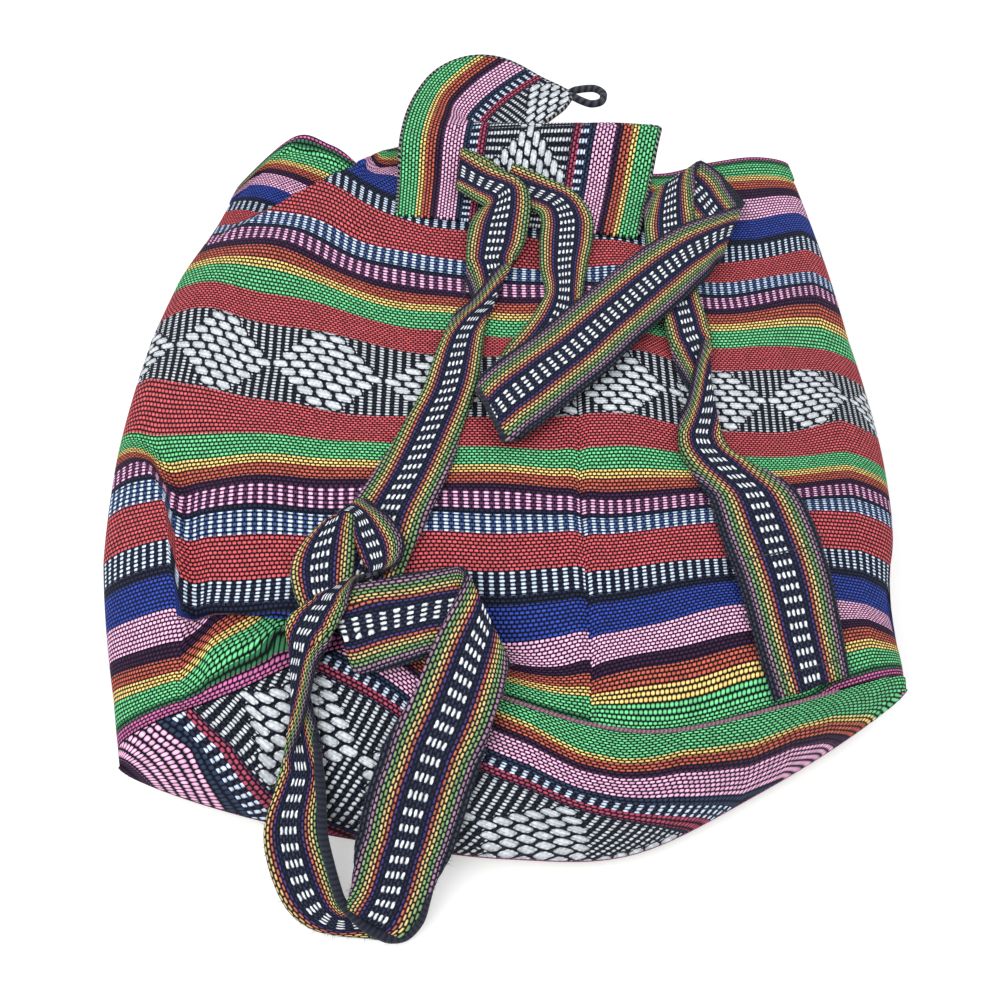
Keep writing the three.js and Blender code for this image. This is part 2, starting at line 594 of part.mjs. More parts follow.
function buttonThread() {
  const panel = frontHeight(sideOf(BUTTON_X, BUTTON_Y), BUTTON_Y);
  const height = panel - BUTTON_THICKNESS - 2 * GAP;
  const geometry = new THREE.CylinderGeometry(THREAD_DIAMETER / 2, THREAD_DIAMETER / 2, height, LOOP_SIDES);
  const thread = part("button_thread", geometry, cloth(0x23262c));
  thread.rotation.x = Math.PI / 2;
  thread.position.set(BUTTON_X, BUTTON_Y, BUTTON_THICKNESS + GAP + height / 2);
  return thread;
}

const backpack = new THREE.Group();
backpack.add(
  bodyPanel(),
  basePanel(),
  closingFlap(),
  flapLoop(),
  strap("strap_right", RIGHT_STRAP),
  strap("strap_left", LEFT_STRAP),
  frontButton(),
  buttonThread(),
);

export default backpack;
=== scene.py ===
import math

import bpy
import numpy as np
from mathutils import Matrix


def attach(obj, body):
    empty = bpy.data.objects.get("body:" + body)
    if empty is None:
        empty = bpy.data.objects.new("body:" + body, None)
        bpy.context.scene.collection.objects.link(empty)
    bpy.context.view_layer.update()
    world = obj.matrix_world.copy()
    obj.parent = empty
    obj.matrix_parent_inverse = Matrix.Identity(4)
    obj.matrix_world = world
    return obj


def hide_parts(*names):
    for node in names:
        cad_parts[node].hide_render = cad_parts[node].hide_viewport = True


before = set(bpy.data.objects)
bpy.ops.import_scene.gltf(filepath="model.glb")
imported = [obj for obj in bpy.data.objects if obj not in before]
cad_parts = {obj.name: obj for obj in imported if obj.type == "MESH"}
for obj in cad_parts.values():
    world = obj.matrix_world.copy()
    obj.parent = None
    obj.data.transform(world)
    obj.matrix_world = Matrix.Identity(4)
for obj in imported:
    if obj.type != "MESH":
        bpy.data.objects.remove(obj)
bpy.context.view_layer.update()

# Woven cloth backpack lying on its front. Sizes below are millimetres, as in the part's source,
# with +Y toward the mouth and z = 0 the surface it lies on. Meshes are written in metres.
MM = 0.001

# Cloth and band thickness, the air left between layers, the height of a sheet's middle above what
# it lies on, and what each layer of strap below it adds
CLOTH = 1.5
BAND = 1.4
GAP = 0.4
SEAT = GAP + 0.8
LAYER = 2.0

# Widths and heights of the bag at its mouth, belly and base, and where they hold
MOUTH_WIDTH, BELLY_WIDTH, BASE_WIDTH = 290, 344, 318
MOUTH_SHIFT, BASE_SHIFT = 7, 4
MOUTH_CROWN, BELLY_CROWN, BASE_CROWN = 46, 76, 68
MOUTH_SIDE, BELLY_SIDE, BASE_SIDE = 24, 34, 24
MOUTH_Y, BELLY_Y, CROWN_Y, BASE_Y = 168, -10, -50, -140
# Edges of the panels, evenly spaced from the left side to the right
BACK_RIM = [160, 190, 182, 168, 175, 172, 165, 158.5, 151, 151, 162, 172.5, 178.5]
FRONT_RIM = [164, 175, 179, 179, 177, 176, 177]
BACK_SEAM = [-140, -129, -113, -136, -147, -134, -111]
FRONT_SEAM = [-148, -164, -174, -180, -178, -152, -117]
SEAM_ROUND, FRONT_LIFT = 9, 7
# Folds of the back panel
PLEAT_START, PLEAT_END = np.array([-139.0, 118.0]), np.array([-50.0, 174.0])
PLEAT_RUN = PLEAT_END - PLEAT_START
CREASE_Y = [-95, -69, -40, -21, -1]
CREASE_X = [-125, -130, -137, -147, -165]
TUCK_LEFT, TUCK_RIGHT = (-126, -93), (-60, -103)
TUCK_SLOPE = (TUCK_RIGHT[1] - TUCK_LEFT[1]) / (TUCK_RIGHT[0] - TUCK_LEFT[0])
# Where the back seam lies, as a share of the half width
BACK_SEAM_SIDE = 0.19

# Flap: its size and the left end of its root
FLAP_WIDTH, FLAP_LENGTH = 128, 160
FLAP_ROOT = (-49.5, 116)
# The turn of its end in radians, the slope of its root and the width of its tip
FLAP_TURN, FLAP_SLOPE, FLAP_TIP = 0.89, 0.14, 12
# How far along it folds and is fully turned, and the cloth that the dart at the fold takes up
FLAP_FOLD, FLAP_TURNED, FLAP_DART = 53, 100, 10
# Where its right part starts to be tucked under, by what share, and how deep it goes under the fold
FLAP_TUCK_FROM, FLAP_TUCK_SHARE, FLAP_UNDER = 60, 0.8, 13
# Where the pattern starts, and what the dart takes out of it
FLAP_PATTERN, FLAP_PATTERN_DART = 6, 16
# Loop of cord, and the foot of the slope that the left strap hangs down
LOOP_CORD, LOOP_LENGTH, LOOP_WIDTH, LOOP_ANGLE = 3.8, 15, 11, -0.2
DRAPE_FOOT = -207

# The straps' routes: one edge's x and y, the other edge's x and y, layers under each edge
RIGHT_STRAP = np.array([
    [6, 147, 0, 125, 1.2, 1.2], [22, 139, 11, 119, 1.3, 1.3], [36, 130, 19, 114, 1.3, 1.3],
    [43, 114, 20, 106, 1.3, 1.3], [43, 97, 19, 94, 1.2, 1.2], [40, 81, 19, 76, 1.1, 1.1],
    [37, 61, 21, 60, 1.1, 1.1], [36, 42, 18, 52, 1, 1], [29, 24, 13, 42, 1, 1],
    [19, 6, 3, 26, 1, 1], [10, -9, -4, 11, 1, 1], [2, -23, -10, 3, 1.3, 1.3],
    [1.5, -27, -9, -1, 2.8, 2.8], [10, -25.5, -8, 6, 3.2, 3.2], [26, -12, 5, 20, 3.2, 3.2],
    [43, 8, 22, 37, 3.2, 3.2], [61, 30, 41, 58.5, 3.2, 3.2], [78, 51, 61, 81, 3.2, 3.2],
    [91, 66, 82, 102, 3.3, 3.3], [99, 79, 106, 117, 3.3, 3.3], [101, 82, 118, 128, 2.8, 2.8],
    [97, 86, 119, 133, 1.2, 1.2], [90, 101, 114, 143, 1, 1], [83, 119, 109, 152, 1, 1],
    [76, 129, 102, 159, 1.2, 1.2], [72, 127, 99, 157, 2.2, 2.2], [69, 110, 93, 126, 2.3, 2.3],
    [69, 89, 91, 95, 2.2, 2.2], [70, 70, 90, 77, 1.6, 1.6], [72, 54, 90, 62, 1.3, 1.3],
    [74, 39, 92, 47, 1.2, 1.3], [76, 22, 93, 33, 1.2, 1.4], [77, 8, 91, 18, 1.2, 1.6],
    [77, -3, 91, 2, 1.2, 1.6], [76, -13, 92, -13, 1.2, 1.3], [75, -26, 95, -25, 1.1, 1.1],
    [79, -37, 105, -32, 1, 0.9], [84, -51, 121, -41, 0.8, 0.7], [88, -68, 128, -55, 0.6, 0.6],
    [94, -89, 133, -77, 0.6, 0.6], [99.5, -116, 136, -104, 0.5, 0.5],
    [105.5, -134, 137.5, -120.5, 0.4, 0.4],
])
LEFT_STRAP = np.array([
    [-1, 122, 3, 143, 1.2, 1.2], [-11, 125, -7, 150, 1.3, 1.3], [-20, 133, -18, 155, 1.6, 1.6],
    [-20, 130, -18, 152, 3.1, 3.1], [-12, 121, -5, 143, 3.4, 3.4], [-7, 115, 10, 134, 3.5, 3.5],
    [-11, 110, 14, 122, 3.1, 3.1], [-14, 102, 13, 105, 2.4, 2.4], [-15, 88, 10, 90, 1.7, 1.7],
    [-15, 74, 5, 78, 1.2, 1.4], [-16, 61, 0, 63, 1.2, 1.6], [-18, 51, -3, 52, 1.2, 1.6],
    [-21, 42, -6, 44, 1.2, 1.4], [-27, 25, -8, 28, 1.2, 1.2], [-33, 1, -10, 7, 1, 1],
    [-41, -19, -15, -14, 1, 1], [-52, -42, -21, -39, 1, 1], [-60, -57, -28, -59, 1, 1],
    [-62, -70, -35, -76, 1, 1], [-66, -83, -42, -97, 1, 1], [-68, -92, -52, -118, 1.2, 1.2],
    [-67, -96, -56, -124, 2.6, 2.6], [-50, -93, -44, -126, 4.4, 4.4], [-33, -90, -34, -125, 4.6, 4.6],
    [-20, -88, -24, -122, 4.7, 4.7], [-15, -88, -3, -121, 4.8, 4.8], [-13, -92, 2, -124, 6.3, 6.3],
    [-23, -116, 1, -136, 6.2, 6.2], [-32, -136, -4, -149, 5.4, 5.4], [-44, -150, -9, -161, 4, 4],
    [-52, -162, -14, -171, 3, 3], [-56, -176, -19, -182, 2.4, 2.4], [-57, -187, -24.5, -190, 2.2, 2.2],
    [-58.5, -195, -29.5, -198.5, 2.6, 2.6], [-60, -199.5, -38, -209.5, 2.8, 2.8],
    [-60.3, -199.3, -42, -210, 1.3, 1.3], [-60.8, -199, -54, -209, 1.3, 1.3],
    [-61.8, -198, -65, -208, 1.3, 1.3], [-62.8, -196, -75, -205.5, 1.3, 1.3],
    [-64, -192, -83, -200, 1.4, 1.4], [-66.5, -185, -89, -189.5, 1.8, 1.8],
    [-69.5, -175, -91.5, -176, 2.5, 2.5],
    [-69, -162, -87, -162, 2.8, 2.8], [-69, -151, -83, -151, 3, 2.8], [-69, -142, -80, -141, 3.4, 2.8],
    [-69, -133, -79.5, -130, 3.8, 3], [-68.5, -122, -80, -119, 4.6, 4],
    [-63.5, -112, -81.5, -108, 5.4, 5.2], [-59.5, -104, -75, -102.5, 5.6, 5.6],
    [-57, -97, -64, -96.5, 5.2, 5.2], [-53, -91, -58, -91.5, 4.2, 4.2],
    [-40, -85, -50, -88.5, 3.4, 3.4], [-38, -76, -54, -81, 3.2, 3.2], [-42, -67, -57, -73, 3.2, 3.2],
    [-51, -57.5, -58.5, -62, 3.2, 3.2], [-57, -56, -68, -64, 3, 3], [-57.5, -66, -77.5, -74, 2.8, 2.8],
    [-57.5, -80, -81.5, -85, 2.6, 2.6], [-58, -92, -79.5, -95, 2.4, 2.4], [-58, -101, -76, -103, 1.6, 1.6],
    [-59, -107, -75, -109, 0.4, 0.4],
])
# The band's width measured round its edges, half its width in the pattern, and the round of an edge
# that rolls under
STRAP_WIDTH, STRAP_PATTERN, STRAP_ROLL = 38, 21.5, 1.15
# Dark selvage at the left strap's lower turn: x, y and its height above what lies under it
TURNED_SELVAGE = np.array([
    [-71.5, -144, 6.6], [-70.2, -152, 6.8], [-69.6, -163, 6.8], [-69.2, -175, 6.2],
    [-66.8, -185, 5], [-64.6, -192, 4.4], [-62.3, -197.5, 4], [-58, -201.8, 4.4],
    [-53.5, -205.6, 5], [-48, -208.4, 4.8], [-43, -210, 4.4], [-37, -208.9, 4.4],
    [-31.8, -204, 5], [-28.6, -197.5, 5.2], [-25.4, -190, 4.6],
])

# Where the woven stripes lie on the back panel: for each distance across the cloth from the middle
# of its diamond band, the y that it has at these places along x
STRIPE_X = [-160, -135, -110, -85, -60, -35, 0, 30, 60, 90, 120, 150]
STRIPE_LINES = {
    -200: [-173, -174, -176, -176, -175, -174, -173, -172, -168, -160, -150, -138],
    -168: [-145, -146, -148, -148, -148, -150, -151, -146, -143.5, -136, -127, -112],
    -147.2: [-127, -128, -130, -129, -129.5, -131, -132, -126, -119, -113, -106, -95],
    -128.2: [-109, -110, -112, -113, -112.5, -112.5, -112.5, -109, -102.5, -95, -91, -85],
    -100.5: [-80, -81, -84, -85, -86, -85, -84, -83, -79, -75, -70, -62],
    -83.5: [-60, -62, -65, -66, -67, -67, -67, -67, -64, -59, -52, -45],
    -63.6: [-34, -38, -41, -43, -44, -46, -48, -50, -49, -45, -41, -31],
    -39: [-3, -8, -14, -18, -22, -25, -27, -27, -26, -26, -24, -15],
    -20: [31, 19, 6, -1, -8, -11, -11, -10, -10, -14, -11, 2],
    20: [69, 66, 51, 42, 33, 25, 24, 26, 28, 19, 23, 31],
    39: [88, 83, 70, 60, 48, 38, 35, 37, 39, 32, 37, 45],
    63.6: [121, 115, 105, 91, 74, 65, 59, 58, 58, 56, 63, 80],
    83.5: [143, 140, 128, 115, 98, 87, 80, 79, 80, 75, 80, 95.5],
    100.5: [165, 164, 160, 146, 124, 109, 102, 100, 98, 87, 93, 110.5],
    128.2: [192, 190, 186, 175, 156, 138, 129, 131, 132, 118, 122, 137],
    158.3: [222, 220, 215, 202, 184, 170, 161, 162, 163, 154, 159, 168],
    200: [264, 262, 257, 244, 226, 212, 203, 204, 205, 201, 205, 210],
}
# The same for the base: distance across its cloth at its upper seam, half way down and at its lower
# seam, at these places from its left side to its right
BASE_SIDES = [
    -1, -0.9, -0.8, -0.7, -0.6, -0.4, -0.23, -0.1, 0.05, 0.17, 0.27, 0.42, 0.6, 0.71, 0.8, 0.9, 1,
]
BASE_UPPER = [-41, -35, -26, -9, 9, 34, 52, 60, 64, 72, 73, 66, 70, 72, 73, 73, 70]
BASE_HALF = [-43, -38, -33, -23, -10, 5, 18, 24, 29, 36, 39, 41, 50, 50, 54, 62, 66]
BASE_LOWER = [-46, -41, -35, -30, -25, -22, -16, -12, -6, -2, 5, 18, 30, 32, 38, 48, 62]

# Yarn colours
RED, GREEN, YELLOW, ORANGE = "bf414a", "3cb46a", "d4b04a", "b04a35"
PURPLE, PINK, MAGENTA, ROYAL = "34183a", "dd9cc6", "b4528f", "203c9c"
NAVY, STEEL, PALE_BLUE, WHITE = "181f38", "2c4a80", "adc0d8", "aab1b7"
INK, CHARCOAL, FOREST, CRIMSON = "171c2c", "2b2f3c", "0f5a34", "9c3354"
PLUM, DEEP_BLUE, DUSK, SNOW = "5a2c58", "20304e", "232940", "c2c8cc"
VIOLET, RUST, STRAW, MOSS, MAUVE = "3b2c66", "a64e36", "b89f52", "638a4a", "8a6880"

# Half of each cloth from its middle outwards: where a stripe starts, its ground yarn and, on a
# stripe with dashes, the yarn of the dashes
BODY_STRIPES = [
    (0, INK, WHITE), (20, RED), (39, GREEN), (50, YELLOW), (53.3, ORANGE), (60, PURPLE),
    (63.6, PLUM, PINK), (72, NAVY), (74.5, STEEL, PALE_BLUE), (83.5, RED), (100.5, NAVY, PALE_BLUE),
    (110.5, NAVY), (114.7, ROYAL), (128.2, PINK), (141, PURPLE), (147.2, ORANGE), (153.6, YELLOW),
    (158.3, GREEN), (166.5, FOREST), (169, MAGENTA),
]
PANEL_STRIPES = [
    (0, INK, WHITE), (20.5, NAVY), (21.5, CRIMSON), (25.3, NAVY, PALE_BLUE), (29, DEEP_BLUE),
    (32.3, PINK), (42.6, PURPLE), (46.2, ORANGE), (50.4, YELLOW), (53.6, GREEN), (76, PINK),
]
STRAP_STRIPES = [
    (0, DUSK, SNOW), (4.9, NAVY), (6.2, VIOLET), (8.2, RUST), (10.2, STRAW), (12.5, MOSS),
    (15.5, MAUVE), (18.2, CHARCOAL),
]


def smooth(t):
    """Zero up to 0, one from 1, and an even S between."""
    t = np.clip(t, 0, 1)
    return t * t * (3 - 2 * t)


def after(value, start, end):
    """How far value is past start, as a share of the way to end, and never below zero."""
    return np.maximum(0, (value - start) / (end - start))


def across(values, side):
    """Smooth curve through evenly spaced values from the left side, -1, to the right, 1: a cubic
    between neighbours whose slope at each value is half the difference of the values beside it."""
    line = np.concatenate([[2 * values[0] - values[1]], values, [2 * values[-1] - values[-2]]])
    place = np.clip((np.asarray(side, float) + 1) / 2, 0, 1) * (len(values) - 1)
    i = np.minimum(place.astype(int), len(values) - 2)
    t = place - i
    p0, p1, p2, p3 = line[i], line[i + 1], line[i + 2], line[i + 3]
    cubic, square = 3 * p1 - p0 - 3 * p2 + p3, 2 * p0 - 5 * p1 + 4 * p2 - p3
    return 0.5 * (2 * p1 + (p2 - p0) * t + square * t**2 + cubic * t**3)


def unit(vectors):
    """The same directions with a length of one."""
    return vectors / np.maximum(np.linalg.norm(vectors, axis=-1, keepdims=True), 1e-9)


def run_along(points):
    """Length along a line of points, from the first point to each."""
    steps = np.linalg.norm(np.diff(points, axis=-2), axis=-1)
    return np.concatenate([np.zeros_like(steps[..., :1]), np.cumsum(steps, -1)], -1)


def half_width(y):
    """Half the belly's width, less a power of the way to the mouth and to the base."""
    to_mouth, to_base = after(y, BELLY_Y, MOUTH_Y) ** 1.6, after(y, BELLY_Y, BASE_Y) ** 2
    drawn_in = (BELLY_WIDTH - MOUTH_WIDTH) * to_mouth + (BELLY_WIDTH - BASE_WIDTH) * to_base
    return (BELLY_WIDTH - drawn_in) / 2


def middle(y):
    """Sideways place of the bag's middle line."""
    return MOUTH_SHIFT * after(y, 60, MOUTH_Y) + BASE_SHIFT * np.minimum(after(y, -60, -120), 1)


def fallen(y, mouth, belly, base, power):
    """Height that is belly at the crown and falls to mouth and base by powers of the way there."""
    to_mouth, to_base = after(y, CROWN_Y, MOUTH_Y) ** power, after(y, CROWN_Y, BASE_Y) ** 2
    return belly - (belly - mouth) * to_mouth - (belly - base) * to_base


def crown_height(y):
    return fallen(y, MOUTH_CROWN, BELLY_CROWN, BASE_CROWN, 1.5)


def side_height(y):
    return fallen(y, MOUTH_SIDE, BELLY_SIDE, BASE_SIDE, 1)


def side_of(x, y):
    return np.clip((x - middle(y)) / half_width(y), -1, 1)


def at_side(side, y):
    return middle(y) + half_width(y) * side


def beyond_pleat(x, y):
    """Distance past the line of the mouth pleat, toward the rim."""
    aside = PLEAT_RUN[0] * (y - PLEAT_START[1]) - PLEAT_RUN[1] * (x - PLEAT_START[0])
    return aside / np.hypot(*PLEAT_RUN)


def along_pleat(x, y):
    """Share of the way along the mouth pleat, 0 at the side and 1 at the rim, fading past the rim end."""
    run = (x - PLEAT_START[0]) * PLEAT_RUN[0] + (y - PLEAT_START[1]) * PLEAT_RUN[1]
    return np.clip(run / (PLEAT_RUN @ PLEAT_RUN) + 0.12, 0, 1) * (1 - smooth((x - PLEAT_END[0]) / 30))


def mouth_pleat(x, y):
    """Step down of 16 mm past the pleat's line that dies away toward the rim."""
    beyond = beyond_pleat(x, y)
    return -16 * along_pleat(x, y) * smooth(beyond / 6) * np.exp(-np.maximum(beyond - 6, 0) / 16)


def right_of_crease(x, y):
    """Distance to the right of the crease down the left side."""
    return x - np.interp(y, CREASE_Y, CREASE_X)


def along_crease(y):
    return smooth((y + 125) / 30) * (1 - smooth((y + 12) / 20))


def side_crease(x, y):
    """Lip 5 mm high at the left of the crease that dies away, with a valley at its right."""
    left = -right_of_crease(x, y)
    lip = smooth((left + 3) / 4) * np.exp(-np.maximum(left, 0) / 30)
    return 5 * along_crease(y) * (lip - 0.6 * np.exp(-(((left + 4) / 5) ** 2)))


def above_tuck(x, y):
    """Distance above the line of the tuck at the lower left."""
    return y - TUCK_LEFT[1] - TUCK_SLOPE * (x - TUCK_LEFT[0])


def along_tuck(x):
    return smooth((x - TUCK_LEFT[0]) / 10) * (1 - smooth((x - TUCK_RIGHT[0]) / 30))


def lower_tuck(x, y):
    """Lip 3 mm high above the tuck's line and a drop of 6 mm below it, both dying away."""
    above = above_tuck(x, y)
    lip = 0.5 * smooth((above + 2) / 4) * np.exp(-np.maximum(above, 0) / 14)
    return 6 * along_tuck(x) * (lip - smooth((2 - above) / 4) * np.exp(np.minimum(above, 0) / 14))


def plain_back(x, y):
    """Crown across the bag: from the side's height to the crown's by a flattened dome."""
    dome = np.maximum(0, 1 - np.abs(side_of(x, y)) ** 2.6) ** 0.6
    return side_height(y) + (crown_height(y) - side_height(y)) * dome


def rumples(x, y):
    """Shallow waves of loose cloth, 1 mm high and 45 to 75 mm long, that cross each other aslant."""
    return 0.7 * np.sin(x / 9 + y / 31) * np.sin(y / 12 - x / 47 + 1) + 0.4 * np.sin(x / 17 - y / 8 + 2)


def folds(x, y):
    """Heights of the folds and rumples, which die out at the very sides."""
    pleated = mouth_pleat(x, y) + side_crease(x, y) + lower_tuck(x, y)
    return (1 - np.abs(side_of(x, y)) ** 6) * (pleated + rumples(x, y))


def back_height(x, y):
    return plain_back(x, y) + folds(x, y)


def front_height(side, y):
    """Underside: flat for four fifths of its width, turned up as a quarter round to the sides,
    and lifted toward the mouth."""
    turn = 1 - np.sqrt(1 - np.clip((np.abs(side) - 0.8) / 0.2, 0, 1) ** 2)
    lift = FRONT_LIFT * smooth((y - 30) / 80)
    return lift + (side_height(y) - lift) * turn


def lower_seam(side):
    """Lower edge of the base, a little above the surface in the middle."""
    y = across(FRONT_SEAM, side)
    flat = front_height(side, y)
    return at_side(side, y), y, flat + SEAM_ROUND * (1 - flat / side_height(y))


def upper_seam(side):
    y = across(BACK_SEAM, side)
    x = at_side(side, y)
    return x, y, back_height(x, y)


def base_fall(down):
    return np.maximum(0, 1 - down**1.6) ** 0.7


def drape_height(x, y):
    """Height of what the straps lie on: the back panel and the flap's rise, the base, a straight
    slope from the base's upper seam to the surface, or the surface itself."""
    side = side_of(x, y)
    rim = across(BACK_RIM, side)
    _, above_y, above_z = upper_seam(side)
    _, below_y, below_z = lower_seam(side)
    on_back = np.clip(y, above_y, rim)
    over_flap = (x > FLAP_ROOT[0]) & (x < FLAP_ROOT[0] + 0.9 * FLAP_WIDTH)
    flap = over_flap * flap_raised(past_root(x, y))
    back = plain_back(x, on_back) + np.maximum(0, folds(x, on_back)) + flap
    down = np.clip((above_y - y) / (above_y - below_y), 0, 1)
    on_base = np.where(y < below_y, 0, below_z + (above_z - below_z) * base_fall(down))
    slope = above_z * np.clip((y - DRAPE_FOOT) / (above_y - DRAPE_FOOT), 0, 1)
    return np.where(y > rim + 25, 0, np.where(y >= above_y, back, np.maximum(on_base, slope)))


def past_root(x, y):
    """Distance past the flap's root, which slopes down to the right."""
    return y - FLAP_ROOT[1] + FLAP_SLOPE * (x - FLAP_ROOT[0])


def flap_raised(along):
    return 11 * smooth(after(along, 24, FLAP_FOLD))


def flap_turned(along):
    return smooth(after(along, FLAP_FOLD, FLAP_TURNED))


def flap_dart(from_left, along):
    """Share of the dart that is taken up: none before the fold or at the flap's left edge."""
    return smooth(from_left / 50) * smooth((along - FLAP_FOLD) / 12)


def flap_tucked(from_left, turned):
    """Width that is tucked under at the right, as far as the flap is turned."""
    return np.maximum(0, from_left - FLAP_TUCK_FROM) * FLAP_TUCK_SHARE * turned


def flap_point(from_left, along):
    """Point of the flap's cloth: out from its left edge, which bends slowly to the right, along a
    direction that the pleat swings round, on the height of the panel below it plus the flap's rise.
    What would come in front of the fold stays under it."""
    steps = np.linspace(0, FLAP_LENGTH, 641)
    swings = FLAP_TURN * smooth(after((steps[1:] + steps[:-1]) / 2, 26, 160))
    step = steps[1]
    edge_x = np.concatenate([[0], np.cumsum(step * np.sin(swings))]) + FLAP_ROOT[0]
    edge_y = np.concatenate([[0], np.cumsum(step * np.cos(swings))]) + FLAP_ROOT[1]
    local = along - FLAP_DART * flap_dart(from_left, along)
    turned = flap_turned(local)
    to_fold, past_fold = np.minimum(along / FLAP_FOLD, 1), along - FLAP_FOLD
    swing = FLAP_SLOPE * (1 - to_fold) + FLAP_TURN * turned
    reach = (0.9 + 0.1 * to_fold) * (from_left - flap_tucked(from_left, turned))
    reach = reach - 4 * smooth(past_fold / 5) * smooth((from_left - 96) / 30)
    x = np.interp(local, steps, edge_x) + reach * np.cos(swing)
    y = np.interp(local, steps, edge_y) - reach * np.sin(swing)
    fold_y = FLAP_ROOT[1] + FLAP_FOLD - FLAP_SLOPE * (x - FLAP_ROOT[0]) * 0.1
    under = np.where(past_fold > 0, np.maximum(0, fold_y - y), 0)
    y = y + under - FLAP_UNDER * (1 - np.exp(-under / FLAP_UNDER))
    rim = across(BACK_RIM, side_of(x, y)) - 3
    rise = flap_raised(along) - 8 * turned * smooth(from_left / 45)
    cover = flap_raised(past_root(x, y)) - 3 * smooth(past_fold / 6)
    rise = np.where(under > 0, np.minimum(rise, cover), rise) - 7 * smooth((y - 172) / 84)
    return np.stack([x, y, plain_back(x, np.minimum(y, rim)) + SEAT + rise], -1)


def ring_normals(points):
    """Unit normals of a grid of closed rings, from the cross product of its two directions."""
    along = np.roll(points, -1, 1) - np.roll(points, 1, 1)
    return unit(np.cross(along, np.gradient(points, axis=0)))


def new_piece(name, mesh, material):
    """Puts a mesh in the scene as a piece of the bag."""
    mesh.materials.append(material)
    piece = bpy.data.objects.new(name, mesh)
    bpy.context.scene.collection.objects.link(piece)
    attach(piece, "root")
    return piece


def grid_piece(name, points, uv, material, wrap=False):
    """Mesh of a grid of points (rows, columns, xyz), in millimetres. uv are cloth coordinates, U along
    the stripes and V across them, of every column and, on a wrapped grid, of the first one again,
    or a pair of these for the first and second column of every face."""
    rows, columns = points.shape[:2]
    i = np.arange(columns if wrap else columns - 1)
    lower = np.arange(rows - 1)[:, None] * columns
    a, b = lower + i, lower + (i + 1) % columns
    faces = np.stack([a, b, b + columns, a + columns], -1).reshape(-1, 4)
    mesh = bpy.data.meshes.new(name)
    mesh.from_pydata(points.reshape(-1, 3) * MM, [], faces)
    first, second = uv if isinstance(uv, tuple) else (uv[:, :-1], uv[:, 1:])
    corners = np.stack([first[:-1], second[:-1], second[1:], first[1:]], 2)
    mesh.uv_layers.new(name="cloth").data.foreach_set("uv", corners.astype(np.float32).ravel())
    mesh.shade_smooth()
    return new_piece(name, mesh, material)


def thicken(piece, thickness, offset):
    """Gives a sheet its thickness: offset 0 about the sheet, -1 behind it."""
    solid = piece.modifiers.new("thickness", "SOLIDIFY")
    solid.thickness = thickness * MM
    solid.offset = offset
    solid.use_even_offset = False


def path_frames(points):
    """Two unit vectors square to a path at each of its points, with the first near upright."""
    ahead = unit(np.gradient(points, axis=0))
    upright = np.where(np.abs(ahead[:, 2:]) > 0.9, [[1.0, 0, 0]], [[0, 0, 1.0]])
    aside = unit(np.cross(ahead, upright))
    return np.cross(aside, ahead), aside


def circle(sides, one, two):
    """Points of a unit circle in the plane of each pair of vectors."""
    turns = np.arange(sides)[:, None] * 2 * np.pi / sides
    return np.cos(turns) * one[:, None] + np.sin(turns) * two[:, None]


def tube_piece(name, points, radius, material, sides, taper=2):
    """Round tube: a circle carried along the path, drawn in to a point at both ends over taper radii."""
    run = run_along(points)
    from_end = np.minimum(run, run[-1] - run)
    radii = radius * np.sqrt(np.clip(from_end / (taper * radius), 0.0004, 1))
    grid = points[:, None] + radii[:, None, None] * circle(sides, *path_frames(points))
    round_by = np.arange(sides + 1) / sides
    uv = np.stack(np.broadcast_arrays(run[:, None], round_by[None, :]), -1)
    return grid_piece(name, grid, uv, material, wrap=True)


def smooth_path(points, count):
    """Smooth curve through points, evenly timed: the cubic of across() on each coordinate."""
    side = np.linspace(-1, 1, count)
    return np.stack([across(list(column), side) for column in np.asarray(points, float).T], -1)


# Finishes


def linear(code):
    """Linear colour, with alpha, of an sRGB hex code."""
    channels = [int(code[i : i + 2], 16) / 255 for i in (0, 2, 4)]
    return [c / 12.92 if c <= 0.04045 else ((c + 0.055) / 1.055) ** 2.4 for c in channels] + [1.0]


def add(tree, kind, *inputs, stops=(), **settings):
    """Adds a node: kind is its type, with its operation after a space, inputs are links or values in
    the order of its sockets, or a dictionary of them by name, settings are its properties, and
    stops are a ramp's places and colours."""
    kind, _, operation = kind.partition(" ")
    node = tree.nodes.new("ShaderNode" + kind)
    if operation:
        node.operation = operation
    for name, value in settings.items():
        setattr(node, name, value)
    for i, (place, colour) in enumerate(stops):
        element = node.color_ramp.elements[i] if i < 2 else node.color_ramp.elements.new(place)
        element.position, element.color = place, colour
    if stops:
        node.color_ramp.interpolation = "CONSTANT"
    named = inputs[0].items() if inputs and isinstance(inputs[0], dict) else enumerate(inputs)
    for key, value in named:
        if isinstance(value, bpy.types.NodeSocket):
            tree.links.new(value, node.inputs[key])
        else:
            node.inputs[key].default_value = value
    return node.outputs[0] if node.outputs else node


def new_finish(name):
    finish = bpy.data.materials.new(name)
    finish.use_nodes = True
    finish.node_tree.nodes.clear()
    return finish, finish.node_tree


def surface(tree, colour, height, depth, **values):
    """Ends a finish: bump of a depth in millimetres, the shader with its plain values, the output."""
    normal = add(tree, "Bump", {"Strength": 1.0, "Distance": depth * MM, "Height": height})
    shader = add(tree, "BsdfPrincipled", {"Base Color": colour, "Normal": normal, **values})
    add(tree, "OutputMaterial", shader)


def blend(tree, share, first, second):
    """Colour that goes from the first to the second by a share."""
    return add(tree, "Mix", {0: share, 6: first, 7: second}, data_type="RGBA").node.outputs[2]


